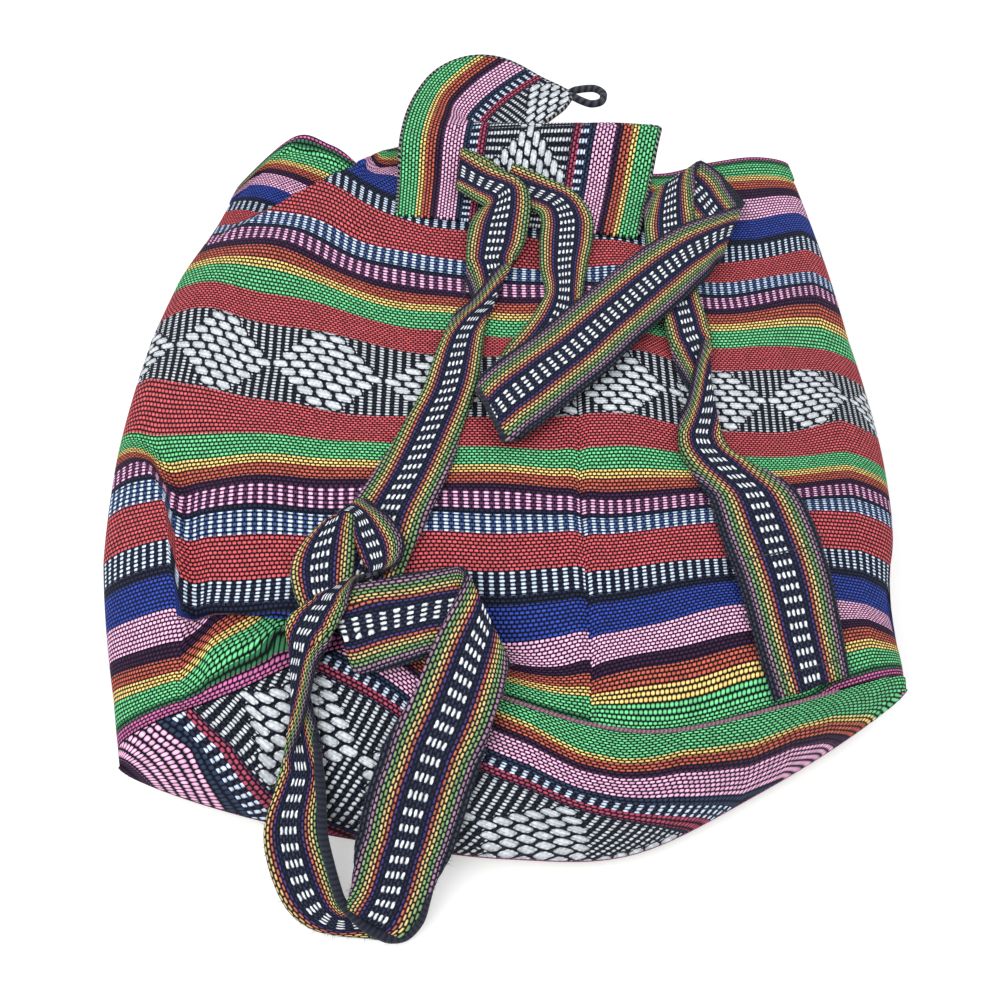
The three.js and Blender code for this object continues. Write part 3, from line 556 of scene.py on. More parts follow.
def yarn_rim(t, within, half_long, half_wide, blunt=1.0):
    """From 0 at the middle of a cell to 1 at the rim of the yarn in it: the fourth power of the way
    to the yarn's end, times blunt, plus the square of the way to its side."""
    scale, shift = (1 / half_long, 1 / half_wide, 0), (-0.5 / half_long, -0.5 / half_wide, 0)
    centred = add(t, "VectorMath MULTIPLY_ADD", within, scale, shift)
    squared = add(t, "VectorMath MULTIPLY", centred, centred)
    end, side = add(t, "SeparateXYZ", squared).node.outputs[:2]
    return add(t, "Math MULTIPLY_ADD", add(t, "Math MULTIPLY", end, end), blunt, side)


# Half a long float's length and width as shares of its cell, its slant, and how deep the furrows
# between its three strands are, which also sets the painted shade in them
FLOAT_LONG, FLOAT_WIDE, FLOAT_SLANT, FURROW = 0.43, 0.48, 0.16, 0.14
# The least dye of a yarn, how far yarns differ, and how far the cloth is faded in places
DYE, DYE_SPREAD, FADE = 0.74, 0.36, 0.1
# Painted shade on a yarn's flanks, the painted highlight its crest has more, and how much colour the crest
# loses to a painted glint
FLANK_SHADE, CREST_HIGHLIGHT, GLINT = 0.34, 1.5, 0.12


def woven_stripes(name, stripes, limit, brick, row, dash, diamond=None, gap_warp_and_shade="080a11", fill=1.75):
    """Hand-loomed acrylic and cotton cloth: short weft bricks with dark gaps give it a grain, the
    dashes and diamonds are longer floats that stand proud, and yarns differ a little in dye. Each
    yarn is painted darker on its flanks and lighter on its crest, a painted shade and highlight.
    brick and row are one brick's length and width, dash is the dashes' spacing along and across and
    their half length and half width as shares, diamond is half the band, its repeat, a float's
    spacing along and across, and the spacing of the dashes between the diamonds, in millimetres.
    A larger fill leaves narrower gaps between the bricks, and the gap colour is partly the dark warp
    showing through and partly painted shade."""
    finish, t = new_finish(name)
    uv = add(t, "UVMap", uv_map="cloth")
    u, v = add(t, "SeparateXYZ", uv).node.outputs[:2]
    from_middle = add(t, "Math ABSOLUTE", v)
    place = add(t, "Math DIVIDE", from_middle, limit)
    ground = add(t, "ValToRGB", place, stops=[(s[0] / limit, linear(s[1])) for s in stripes])
    floats = add(t, "ValToRGB", place, stops=[(s[0] / limit, linear(s[-1])) for s in stripes])
    has_dashes = [(s[0] / limit, [len(s) - 2] * 3 + [1]) for s in stripes]
    dashed = add(t, "ValToRGB", place, stops=has_dashes)

    # Bricks: every other row is moved by half a brick
    cells = add(t, "VectorMath MULTIPLY", uv, (1 / brick, 1 / row, 1))
    cell_u, cell_v = add(t, "SeparateXYZ", cells).node.outputs[:2]
    moved = add(t, "Math MULTIPLY_ADD", add(t, "Math FLOOR", cell_v), 0.5, cell_u)
    laid = add(t, "CombineXYZ", moved, cell_v, 0.0)
    rim = yarn_rim(t, add(t, "VectorMath FRACTION", laid), 0.5, 0.5, 1.2)
    mound = add(t, "Math SUBTRACT", 1.0, rim, use_clamp=True)
    low = add(t, "Math MULTIPLY_ADD", rim, -2.4, fill, use_clamp=True)

    # Dashes, in columns square to the stripes
    spacing, pitch, half_long, half_wide = dash
    half, repeat, long, wide, close = diamond or (0, 1, 1, 1, spacing)
    in_band = add(t, "Math LESS_THAN", from_middle, half)
    spread = add(t, "Math MULTIPLY_ADD", in_band, 1 / close - 1 / spacing, 1 / spacing)
    dash_u, dash_v = add(t, "Math MULTIPLY", u, spread), add(t, "Math MULTIPLY", v, 1 / pitch)
    dash_within = add(t, "VectorMath FRACTION", add(t, "CombineXYZ", dash_u, dash_v, 0.0))
    dash_rim = yarn_rim(t, dash_within, half_long, half_wide)
    dash_mound = add(t, "Math SUBTRACT", 1.1, dash_rim, use_clamp=True)
    raised = add(t, "Math MULTIPLY", dash_mound, dashed)

    if diamond:
        # Diamonds of long floats, every other row moved by half a float
        cells = add(t, "VectorMath MULTIPLY_ADD", uv, (1 / long, 1 / wide, 1), (0, 0.5, 0))
        float_u, float_v = add(t, "SeparateXYZ", cells).node.outputs[:2]
        line = add(t, "Math FLOOR", float_v)
        moved = add(t, "Math MULTIPLY_ADD", line, 0.5, float_u)
        across_float = add(t, "Math FRACT", float_v)
        sheared = add(t, "Math MULTIPLY_ADD", across_float, FLOAT_SLANT, moved)
        within = add(t, "CombineXYZ", add(t, "Math FRACT", sheared), across_float, 0.0)
        float_rim = yarn_rim(t, within, FLOAT_LONG, FLOAT_WIDE)
        float_round = add(t, "Math SUBTRACT", 1.1, float_rim, use_clamp=True)
        strand = add(t, "Math COSINE", add(t, "Math MULTIPLY", across_float, 6 * math.pi))
        strand_high = add(t, "Math MULTIPLY_ADD", strand, -FURROW, 1 - FURROW)
        float_mound = add(t, "Math MULTIPLY", float_round, strand_high)
        # The middle of each float decides whether it is in a diamond
        middle_u = add(t, "Math MULTIPLY_ADD", line, -0.5, add(t, "Math FLOOR", sheared))
        in_repeats = add(t, "Math MULTIPLY_ADD", middle_u, long / repeat, 0.5 * long / repeat)
        off_middle = add(t, "Math SUBTRACT", add(t, "Math FRACT", in_repeats), 0.5)
        tall = add(t, "Math MULTIPLY", add(t, "Math ABSOLUTE", line), wide / half)
        outline = add(t, "Math MULTIPLY_ADD", add(t, "Math ABSOLUTE", off_middle), 2.0, tall)
        in_outline = add(t, "Math LESS_THAN", outline, 1.06)
        in_diamond = add(t, "Math MULTIPLY", in_outline, in_band)
        raised = add(t, "Mix", {0: in_diamond, 2: raised, 3: float_mound}, data_type="FLOAT")

    # Per-yarn dye and slow fading
    dye = add(t, "TexWhiteNoise", add(t, "VectorMath FLOOR", laid), noise_dimensions="2D")
    slow = add(t, "TexNoise", {"Vector": uv, "Scale": 0.03, "Detail": 3.0}, noise_dimensions="2D")
    faded = add(t, "Math MULTIPLY_ADD", slow, FADE, add(t, "Math MULTIPLY_ADD", dye, DYE_SPREAD, DYE))
    # Painted shade and highlight: by its height each yarn is darker on its flanks and in the floats'
    # furrows, and lighter on its crest and on raised floats
    top = add(t, "Math MAXIMUM", mound, raised)
    tone = add(t, "Math MULTIPLY", faded, add(t, "Math MULTIPLY_ADD", top, CREST_HIGHLIGHT, FLANK_SHADE))
    on_top = add(t, "Math GREATER_THAN", raised, 0.2)
    dyed_and_shaded = add(t, "VectorMath SCALE", {0: blend(t, on_top, ground, floats), 3: tone})

    # Crests get a painted glint that moves their colour toward a brighter grey, and the gaps between the
    # yarns take the gap colour, partly the dark warp showing through and partly painted shade
    bright = add(t, "Math MULTIPLY", add(t, "RGBToBW", dyed_and_shaded), 2.2)
    with_painted_glint = blend(t, add(t, "Math MULTIPLY", top, GLINT), dyed_and_shaded, bright)
    proud = add(t, "Math MULTIPLY", raised, 2.4, use_clamp=True)
    seen = blend(t, add(t, "Math MAXIMUM", low, proud), linear(gap_warp_and_shade), with_painted_glint)
    height = add(t, "Math MULTIPLY_ADD", raised, 0.7, top)
    surface(t, seen, height, 0.5, Roughness=0.85, **{"Specular IOR Level": 0.15})
    return finish


def wound(t, pitch):
    """A thread's cloth coordinates, and the turns of its winding up to each place."""
    uv = add(t, "UVMap", uv_map="cloth")
    along, round_by = add(t, "SeparateXYZ", uv).node.outputs[:2]
    return uv, add(t, "Math MULTIPLY_ADD", along, 1 / pitch, round_by)


def spun_cord(name, colour, crest_highlight, pitch):
    """Spun cotton cord: strands wound aslant are painted darker in their fine furrows and lighter on their
    crests, a painted shade and highlight, on a dull, slightly hairy skin.
    """
    finish, t = new_finish(name)
    uv, turns = wound(t, pitch)
    strand = add(t, "Math SINE", add(t, "Math MULTIPLY", turns, 2 * math.pi))
    fuzz = add(t, "TexNoise", {"Vector": uv, "Scale": 3.0, "Detail": 4.0})
    height = add(t, "Math MULTIPLY_ADD", strand, 0.5, fuzz)
    # Painted shade in the furrows and painted highlight on the crests, by the strands' height, with random
    # tone from the fuzz
    seen = blend(t, height, linear(colour), linear(crest_highlight))
    surface(t, seen, height, 0.3, Roughness=0.9, **{"Specular IOR Level": 0.2, "Sheen Weight": 0.1})
    return finish


def overcast_thread(name, dark, light, pitch):
    """Two cotton threads wound over an edge: slanted turns of dark and pale, each a round ridge."""
    finish, t = new_finish(name)
    uv, turns = wound(t, pitch)
    pale = add(t, "Math GREATER_THAN", add(t, "Math FRACT", turns), 0.58)
    ridge = add(t, "Math SINE", add(t, "Math MULTIPLY", turns, 4 * math.pi))
    wear = add(t, "TexNoise", {"Vector": uv, "Scale": 0.6, "Detail": 2.0})
    seen = blend(t, add(t, "Math MULTIPLY", pale, wear), linear(dark), linear(light))
    surface(t, seen, ridge, 0.2, Roughness=0.8, **{"Specular IOR Level": 0.2})
    return finish


def turned_wood(name):
    """Oiled hardwood, turned and sanded: long brown grain lines and a soft shine."""
    finish, t = new_finish(name)
    coords = add(t, "TexCoord").node.outputs["Object"]
    # Grain about 11 mm long and 1.1 mm wide
    stretched = add(t, "VectorMath MULTIPLY", coords, (90, 900, 900))
    grain = add(t, "TexNoise", {"Vector": stretched, "Scale": 1.0, "Detail": 5.0, "Distortion": 0.6})
    surface(t, blend(t, grain, linear("3f2414"), linear("8a5a34")), grain, 0.08, Roughness=0.45)
    return finish


def cotton_lint(name):
    """Loose cotton fibres: matt, from near black to mid grey, so that the edges look hairy."""
    finish, t = new_finish(name)
    coords = add(t, "TexCoord").node.outputs["Object"]
    # The tone changes about every 1.7 mm
    tone = add(t, "TexNoise", {"Vector": coords, "Scale": 600.0, "Detail": 1.0})
    seen = blend(t, tone, linear("14161c"), linear("70727a"))
    surface(t, seen, tone, 0.05, Roughness=1.0, **{"Specular IOR Level": 0.1})
    return finish


# One diamond's length, and the dashes of the body and of the panels
REPEAT = 51
DASH = (REPEAT / 12, 1.65, 0.26, 0.41)
body_cloth = woven_stripes(
    "woven_stripe_cloth", BODY_STRIPES, 200, REPEAT / 24, 1.65, DASH,
    diamond=(20, REPEAT, REPEAT / 6, 4.2, REPEAT / 13),
)
panel_cloth = woven_stripes(
    "woven_panel_cloth", PANEL_STRIPES, 80, REPEAT / 22, 1.7, DASH,
    diamond=(21.5, REPEAT, REPEAT / 6, 3.64, REPEAT / 13),
)
# The strap's gap colour is partly its dark warp showing through and partly painted shade
band_cloth = woven_stripes(
    "woven_strap_band", STRAP_STRIPES, 22, 2.3, 1.6, (5.2, 2.3, 0.26, 0.34), gap_warp_and_shade="151926", fill=1.6,
)
# Cords: their own dark colour, and a lighter one for the painted highlight on the strands' crests
cord_yarn = spun_cord("spun_cotton_cord", "1b1d24", "4a4d58", 3.5)
selvage_yarn = spun_cord("charcoal_selvage_yarn", "1a1e2a", "2e3341", 2.4)
button_wood = turned_wood("oiled_hardwood")
edge_thread = overcast_thread("overcast_edge_thread", "14161c", "d2d0cc", 3.0)
seam_yarn = overcast_thread("pale_seam_yarn", "8e5a72", "d8b4c4", 1.7)
lint = cotton_lint("cotton_lint")

# Body

SEAM_COLUMNS, UNDER_COLUMNS, LEFT_COLUMNS, BODY_ROWS = 74, 76, 106, 156
# The row of points that lies along the tuck, and the pattern's length round the bag
TUCK_ROW = 14
REPEATS = 15 * REPEAT


def stripe_place(x, y, below_tuck):
    """Distance across the cloth at a place of the back panel: between the stripe lines, which are
    smooth curves over x, plus what the pleat, the crease and the tuck have drawn in, and the slow
    waves of cloth that was beaten by hand."""
    levels = np.array(list(STRIPE_LINES))
    places = np.interp(x, STRIPE_X, np.linspace(-1, 1, len(STRIPE_X)))
    lines = np.stack([across(line, places) for line in STRIPE_LINES.values()], -1)
    i = np.clip((lines < y[..., None]).sum(-1) - 1, 0, len(levels) - 2)
    low = np.take_along_axis(lines, i[..., None], -1)[..., 0]
    high = np.take_along_axis(lines, i[..., None] + 1, -1)[..., 0]
    v = levels[i] + (levels[i + 1] - levels[i]) * (y - low) / (high - low)
    lobe = smooth((beyond_pleat(x, y) - 3) / 2) * (1 - smooth((x + 45) / 20))
    past = y - 158 + 0.47 * (x + 127)
    v = v + lobe * (np.interp(past, [-60, 0, 23, 60], [44, 128, 158, 188]) - v)
    ramp = 3 + 38 * smooth((y + 28) / 35)
    left = smooth((ramp / 2 - 3 - right_of_crease(x, y)) / ramp) * (1 - smooth((y + 30) / 50))
    below = below_tuck * (1 - smooth((x + 70) / 40))
    drawn = np.interp(x, [-126, -115, -107, -97, -88, -70], [-16, -31, -37, -43, -50, -55])
    waves = 0.9 * np.sin(x / 10 + y / 45) * np.sin(y / 38 + x / 60 + 1)
    waves = waves + 0.6 * np.sin(x / 19 - y / 27 + 2)
    return v + drawn * np.maximum(left, below) + waves


def body_grid():
    """Rings from the base seam to the rim. Each ring starts at the back seam, runs right over the
    back panel, under the front and up the left side to the seam again. At the tuck the rows of the
    back panel run along its line and fold over one another."""
    even = np.linspace(0, np.pi / 2, SEAM_COLUMNS, endpoint=False)
    right = BACK_SEAM_SIDE + (1 - BACK_SEAM_SIDE) * (0.5 * np.sin(even) + even / np.pi)
    turn = np.linspace(0, np.pi, UNDER_COLUMNS, endpoint=False)
    under = 0.55 * np.cos(turn) + 0.45 * (1 - 2 * turn / np.pi)
    even = np.linspace(np.pi / 2, 0, LEFT_COLUMNS, endpoint=False)
    left = BACK_SEAM_SIDE - (1 + BACK_SEAM_SIDE) * (0.5 * np.sin(even) + even / np.pi)
    along = np.linspace(0, 1, BODY_ROWS)[:, None]
    row = np.arange(BODY_ROWS)[:, None]

    def back(side):
        seam, rim = across(BACK_SEAM, side), across(BACK_RIM, side)
        near = at_side(side, -98.0)
        tuck = (TUCK_LEFT[1] + TUCK_SLOPE * (near - TUCK_LEFT[0]) - seam) / (rim - seam)
        here = smooth((near + 165) / 30) * (1 - smooth((near + 50) / 60))
        even = TUCK_ROW / (BODY_ROWS - 1)
        tuck = even + (np.clip(tuck, 0.03, 0.3) - even) * here
        above = tuck + (1 - tuck) * (row - TUCK_ROW) / (BODY_ROWS - 1 - TUCK_ROW)
        y = seam + (rim - seam) * np.where(row < TUCK_ROW, tuck * row / TUCK_ROW, above)
        x = at_side(side, y)
        z = back_height(x, y)
        folded, off = along_tuck(x) * (1 - smooth((x + 60) / 20)), row - TUCK_ROW
        y = y + folded * np.interp(off, [-6, -3, -2, -1, 0, 1, 3], [0, 1, 4.5, 2, -3, -1, 0])
        z = z + folded * np.interp(off, [-6, -3, -2, -1, 0, 1, 4], [0, -1, -0.5, 0.8, 2.2, 1.6, 0])
        return np.stack([x, y, z], -1)

    seam_y, rim_y = across(FRONT_SEAM, under), across(FRONT_RIM, under)
    round_part = np.minimum(along / 0.1, 1) * np.pi / 2
    y = seam_y + SEAM_ROUND * (1 - np.cos(round_part))
    y = y + (rim_y - y) * np.maximum(0, along - 0.1) / 0.9
    z = front_height(under, y)
    seam_z = lower_seam(under)[2]
    front = np.stack([at_side(under, y), y, seam_z + (z - seam_z) * np.sin(round_part)], -1)
    return np.concatenate([back(right), front, back(left)], 1)


def body_cloth_places(points):
    """U is the length along each ring from the back seam to both sides, 1.15 times as much at the
    right, where the pattern is closer, and on the underside what is left of a whole number of
    repeats. V comes from the stripe lines on the back panel, and on the underside runs evenly
    between its values at the two sides."""
    closed = np.concatenate([points, points[:, :1]], 1)
    x, y = closed[..., 0], closed[..., 1]
    run = run_along(closed[..., [0, 2]])
    v = stripe_place(x, y, np.arange(len(closed))[:, None] < TUCK_ROW - 1)
    # The hem follows the rim and a narrow edge follows the base seam
    edge = 1 + 5 * (1 - smooth((x[0] + 40) / 30)) + 4 * smooth((x[0] - 118) / 15)
    v = v + (-169 - edge - v[:1]) * smooth(1 - (y - y[:1]) / 22)
    deep = 13 + 11 * smooth((x[-1] + 80) / 16)
    hemmed = (1 - np.exp(-(((x[-1] + 70) / 9) ** 2))) * smooth(1 - (y[-1:] - y) / deep)
    v = v + (172 - v[-1:]) * hemmed
    # At the back seam the stripes of the right side lie a little lower than those of the left
    first_under, first_left = SEAM_COLUMNS, SEAM_COLUMNS + UNDER_COLUMNS
    seam_fall = 4 * smooth(-y / 140) * np.exp(-np.maximum(x - 33, 0) / 50)
    v[:, :first_under] += seam_fall[:, :first_under]
    to_right, u = 1.15 * run + 4, run - run[:, -1:] - 19
    u[:, :first_under] = to_right[:, :first_under]
    under = slice(first_under, first_left)
    start, end = run[:, [first_under]], run[:, [first_left]]
    share = (run[:, under] - start) / (end - start)
    start, end = to_right[:, [first_under]], u[:, [first_left]]
    u[:, under] = start + (REPEATS + end - start) * share
    start, end = v[:, [first_under - 1]], v[:, [first_left]]
    v[:, under] = start + (end - start) * share
    uv = np.stack([u, v], -1)
    second = uv[:, 1:].copy()
    second[:, first_left - 1, 0] += REPEATS
    return uv[:, :-1], second


def sewn(points):
    """Small forms of the sewing, moved out along the surface: a hem that stands 0.8 mm proud with a
    furrow under it where it is stitched, a furrow with soft shoulders at the back seam, and slow
    waves, a product of two sines plus one aslant, over the back panel. Then the left side is drawn
    in by 5 mm near the mouth, and the right side by 6 mm below the belly."""
    x, y = points[..., 0], points[..., 1]
    from_rim, from_seam = y[-1:] - y, np.abs(x - x[:, :1])
    out = 0.8 * smooth((10 - from_rim) / 1.5) - 0.8 * np.exp(-(((from_rim - 11) / 1.6) ** 2))
    shoulders = 0.7 * np.exp(-(((from_seam - 5) / 3) ** 2))
    back = np.ones(points.shape[1])
    back[SEAM_COLUMNS : SEAM_COLUMNS + UNDER_COLUMNS] = 0
    out = out + back * (shoulders - 1.3 * np.exp(-((from_seam / 1.5) ** 2)))
    inside = smooth((from_rim - 12) / 20) * smooth((y - y[:1]) / 25)
    inside = inside * (1 - np.abs(side_of(x, y)) ** 8)
    waves = np.sin(x / 15 + 0.9 * np.sin(y / 33)) * np.sin(y / 21 + 0.7 * np.sin(x / 41))
    waves = waves + 0.6 * np.sin(x / 37 - y / 12)
    drawn = 5 * smooth((y - 95) / 45) * smooth((-x - 95) / 45)
    drawn = drawn - 6 * np.exp(-(((y + 80) / 22) ** 2)) * smooth((x - 110) / 50)
    points = points + ring_normals(points) * (out + 0.75 * back * inside * waves)[..., None]
    points[..., 0] += drawn
    return points


body_points = sewn(body_grid())
body_uv = body_cloth_places(body_points)
body = grid_piece("bag_body", body_points, body_uv, body_cloth, wrap=True)
thicken(body, CLOTH, -1)
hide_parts("body_panel")

# Base

# The grid's size, and the step of the coarse grid on which the pattern is laid out
BASE_COLUMNS, BASE_ROWS, COARSE = 151, 46, 3


def along_stripes(points, v):
    """Length along the stripes: the field whose rise over every edge of a coarse grid is, by least
    squares, the part of that edge that runs along the stripes, square to the slope of v. Between
    the coarse grid's points it is straight in both directions."""
    coarse, level = points[::COARSE, ::COARSE], v[::COARSE, ::COARSE]
    by_row, by_column = np.gradient(coarse, axis=0), np.gradient(coarse, axis=1)
    v_row, v_column = (np.gradient(level, axis=axis)[..., None] for axis in (0, 1))
    way = unit(by_column * v_row - by_row * v_column).reshape(-1, 3)
    place = coarse.reshape(-1, 3)
    index = np.arange(level.size).reshape(level.shape)
    start = np.concatenate([index[:, :-1].ravel(), index[:-1].ravel()])
    end = np.concatenate([index[:, 1:].ravel(), index[1:].ravel()])
    rise = ((place[end] - place[start]) * (way[start] + way[end]) / 2).sum(-1)
    total = np.zeros((level.size, level.size))
    for one, other, weight in ((start, start, 1), (end, end, 1), (start, end, -1), (end, start, -1)):
        np.add.at(total, (one, other), weight)
    total[0, 0] += 1
    sums = np.bincount(end, rise, level.size) - np.bincount(start, rise, level.size)
    field = np.linalg.solve(total, sums).reshape(level.shape)
    rows, columns = np.arange(len(v)) / COARSE, np.arange(v.shape[1]) / COARSE
    low_row = np.minimum(rows.astype(int), len(level) - 2)
    low_column = np.minimum(columns.astype(int), level.shape[1] - 2)
    part_row, part_column = (rows - low_row)[:, None], columns - low_column
    wide = field[:, low_column] * (1 - part_column) + field[:, low_column + 1] * part_column
    return wide[low_row] * (1 - part_row) + wide[low_row + 1] * part_row


def base_grid():
    """Rows from the upper seam down to the lower one: straight between the seams seen from above,
    and falling as a rounded slope."""
    side = np.sin(np.linspace(-np.pi / 2, np.pi / 2, BASE_COLUMNS))[None, :] * 0.4
    side = side + np.linspace(-0.6, 0.6, BASE_COLUMNS)[None, :]
    down = np.sin(np.linspace(0, np.pi / 2, BASE_ROWS))[:, None]
    ax, ay, az = upper_seam(side)
    bx, by, bz = lower_seam(side)
    foot = bz + 0.7
    x, y = ax + (bx - ax) * down, ay - GAP + (by - ay + GAP) * down
    points = np.stack(np.broadcast_arrays(x, y, foot + (az - foot) * base_fall(down)), -1)
    lists = (BASE_UPPER, BASE_HALF, BASE_LOWER)
    upper, half, lower = (np.interp(side, BASE_SIDES, row) for row in lists)
    first, second = upper + (half - upper) * down * 2, half + (lower - half) * (down * 2 - 1)
    v = np.where(down < 0.5, first, second)
    uv = np.stack([along_stripes(points, v) + REPEAT / 2, v], -1)
    return points[:, ::-1], uv[:, ::-1]


base_points, base_uv = base_grid()
base = grid_piece("bag_base", base_points, base_uv, panel_cloth)
thicken(base, CLOTH, -1)
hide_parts("base_panel")

# Flap

FLAP_COLUMNS, FLAP_ROWS = 90, 130


def flap_grid():
    """Rows from the sewn root to the tip. Past its straight part the flap narrows as a half round.
    The pattern runs square to the root, skips the cloth in the dart, and keeps its scale where the
    right part is tucked under."""
    radius = FLAP_WIDTH / 2
    last = math.acos(FLAP_TIP / FLAP_WIDTH)
    straight = np.linspace(0, FLAP_LENGTH - radius, FLAP_ROWS // 2, endpoint=False)
    turn = np.linspace(0, last, FLAP_ROWS - FLAP_ROWS // 2)
    along = np.concatenate([straight, FLAP_LENGTH - radius + radius * np.sin(turn)])[:, None]
    past = np.maximum(0, along - (FLAP_LENGTH - radius))
    half = np.sqrt(radius**2 - past**2)
    from_left = radius + half * np.linspace(-1, 1, FLAP_COLUMNS)[None, :]
    from_left, along = np.broadcast_arrays(from_left, along)
    dart = flap_dart(from_left, along)
    tucked = flap_tucked(from_left, flap_turned(along - FLAP_DART * dart))
    u, v = along - FLAP_PATTERN - FLAP_PATTERN_DART * dart, from_left - tucked - radius
    return flap_point(from_left, along), np.stack([u, v], -1)


flap_points, flap_uv = flap_grid()
flap = grid_piece("closing_tongue", flap_points, flap_uv, panel_cloth)
thicken(flap, CLOTH, 0)
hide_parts("closing_flap")

# Straps

STRAP_COLUMNS, STRAP_STEPS = 30, 7


def strap_rows(route):
    """Rows between the listed ones: on each stretch a cubic whose end slopes weigh the neighbouring
    stretches by the square roots of their lengths."""
    centres = route[:, :2] + route[:, 2:4]
    spacing = np.sqrt(np.linalg.norm(np.diff(centres, axis=0), axis=1) + 1)[:, None]
    step = np.diff(route, axis=0)
    before, own = spacing[:-1], spacing[1:]
    mean = (step[:-1] + step[1:]) / (before + own)
    starts = np.concatenate([step[:1], own * (step[:-1] / before - mean) + step[1:]])
    ends = np.concatenate([step[:-1] - before * (mean - step[1:] / own), step[-1:]])
    place = np.linspace(0, len(step), len(step) * STRAP_STEPS + 1)
    i = np.minimum(place.astype(int), len(step) - 1)
    t = (place - i)[:, None]
    hold = t * t * (3 - 2 * t)
    return route[i] + step[i] * hold + starts[i] * t * (1 - t) ** 2 - ends[i] * t * t * (1 - t)


def strap_piece(name, route, node, turns, slides):
    """Band along its route. Where a row shows less than the band's width, both edges roll under it:
    the width left over turns down in a small half round and back inward. A turn (first row, last
    row) is a half twist laid flat: the edge on the second side folds over the band and moves to the
    first side, while the fold it leaves stays at the second. slides are rows and how far, in
    millimetres, the band is slid there so that more of its second edge shows."""
    rows = strap_rows(route)
    place = np.linspace(0, len(route) - 1, len(rows))[:, None]
    a, b, layers_a, layers_b = rows[:, :2], rows[:, 2:4], rows[:, 4:5], rows[:, 5:6]
    shown = np.linalg.norm(b - a, axis=1, keepdims=True)
    radius = np.minimum(STRAP_ROLL, shown / 5)
    spare = np.clip((STRAP_WIDTH - shown) / 2, 0, 0.24 * shown)
    spare = spare * np.clip(np.minimum(layers_a, layers_b), 0, 1)
    half = shown / 2 + spare
    visible = (half - spare + 0.57 * radius * np.clip(spare / radius, 0, 1)) / half
    fold = np.minimum(visible + np.interp(place, *slides) / half, 1)
    over, way = -np.ones_like(place), np.ones_like(place)
    for start, end in turns:
        gone = (place - start) / (end - start)
        inside = (gone > 0) & (gone < 1)
        fold = np.where(inside, visible * (1 - 2 * gone), fold)
        over = np.where(inside, -np.cos(np.pi * np.clip(gone * 6, 0, 1)), over)
        way = np.where(gone >= 1, -way, way)
    strip = np.linspace(-1, 1, STRAP_COLUMNS + 1)[None, :]
    c = strip * way
    # Distance from the fold at the second side, round it, along the band, and under at the first side
    away = np.abs(c - fold) * half
    quarter = np.minimum(away / radius, np.pi / 2)
    out = shown / 2 - radius * (1 - np.cos(quarter)) - np.maximum(0, away - np.pi / 2 * radius)
    past = np.maximum(0, radius - shown / 2 - out)
    roll = np.minimum(past / radius, np.pi)
    out = np.maximum(out, radius - shown / 2) - radius * np.sin(roll) + np.maximum(0, past - np.pi * radius)
    lift = np.sign(c - fold) * over * radius * np.sin(quarter) - radius * (1 - np.cos(roll)) - radius
    share = 0.5 + out / np.maximum(shown, 1e-6)
    x, y = (a[:, [i]] + (b - a)[:, [i]] * share for i in (0, 1))
    layers = layers_a + (layers_b - layers_a) * share
    points = np.stack([x, y, drape_height(x, y) + SEAT + LAYER * layers + lift], -1)
    run = run_along((a + b) / 2)[:, None]
    uv = np.stack(np.broadcast_arrays(run, strip * np.maximum(STRAP_PATTERN, half)), -1)
    piece = grid_piece(name, points, uv, band_cloth)
    thicken(piece, BAND, 0)
    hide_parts(node)
    outline = np.stack([a, b], 1)
    seat = drape_height(outline[..., 0], outline[..., 1]) + SEAT + LAYER * rows[:, 4:6] - radius
    return piece, points, np.concatenate([outline, seat[..., None]], -1)


strap_right, right_points, right_outline = strap_piece(
    "shoulder_strap_right", RIGHT_STRAP, "strap_right", [(30.5, 34.5)], ([0, 41], [0, 0])
)
left_slides = (
    [0, 35, 37, 41.5, 42.6, 47, 47.8, 49, 51, 54, 55],
    [0, 0, -1.8, -1.8, 0, 0, -1, -1.5, -3, -3, -1],
)
strap_left, _, left_outline = strap_piece(
    "shoulder_strap_left", LEFT_STRAP, "strap_left", [(8.6, 12.6), (42.6, 47)], left_slides
)

# Edges, seams and lint


def lint_piece(name, outline, count, seed):
    """Short fibres at random places of a strap's two outlines: each leans outward and up, bends a
    little, and is a three-sided tube that tapers over three steps."""
    chance = np.random.default_rng(seed)
    row, side = chance.uniform(0, len(outline) - 1.001, count), chance.integers(0, 2, count)
    low, part = row.astype(int), (row % 1)[:, None]
    root = outline[low, side] * (1 - part) + outline[low + 1, side] * part
    inner = outline[low, 1 - side] * (1 - part) + outline[low + 1, 1 - side] * part
    away = (root - inner) / np.maximum(np.linalg.norm(root - inner, axis=1, keepdims=True), 1)
    lean = unit(away + chance.normal(0, 0.55, (count, 3)) + [0, 0, 0.45])
    long = chance.uniform(0.8, 2.6, (count, 1, 1))
    t = np.linspace(0, 1, 4)[None, :, None]
    curl = chance.normal(0, 0.45, (count, 1, 3))
    line = root[:, None] - 0.5 * away[:, None] + long * (lean[:, None] * t + curl * t * t)
    line[..., 2] = np.maximum(line[..., 2], 0.3)
    one = unit(np.cross(lean, chance.normal(0, 1, (count, 3))))
    thin = 0.16 * (1 - 0.85 * t)
    points = line[:, :, None] + thin[..., None] * circle(3, one, np.cross(lean, one))[:, None]
    first = np.arange(count)[:, None, None] * 12 + np.arange(3)[:, None] * 3
    a, b = first + np.arange(3), first + (np.arange(3) + 1) % 3
    sides = np.stack([a, b, b + 3, a + 3], -1).reshape(-1, 4)
    start = np.arange(count)[:, None] * 12
    caps = np.concatenate([start + [2, 1, 0], start + [9, 10, 11]])
    mesh = bpy.data.meshes.new(name)
    mesh.from_pydata(points.reshape(-1, 3) * MM, [], sides.tolist() + caps.tolist())
    return new_piece(name, mesh, lint)


def across_band(points, row, first, last):
    """Line just above a strap at a listed row, between two shares of its width."""
    line = points[round(row * STRAP_STEPS)]
    return line[round(first * STRAP_COLUMNS) : round(last * STRAP_COLUMNS) + 1] + [0, 0, 0.75]


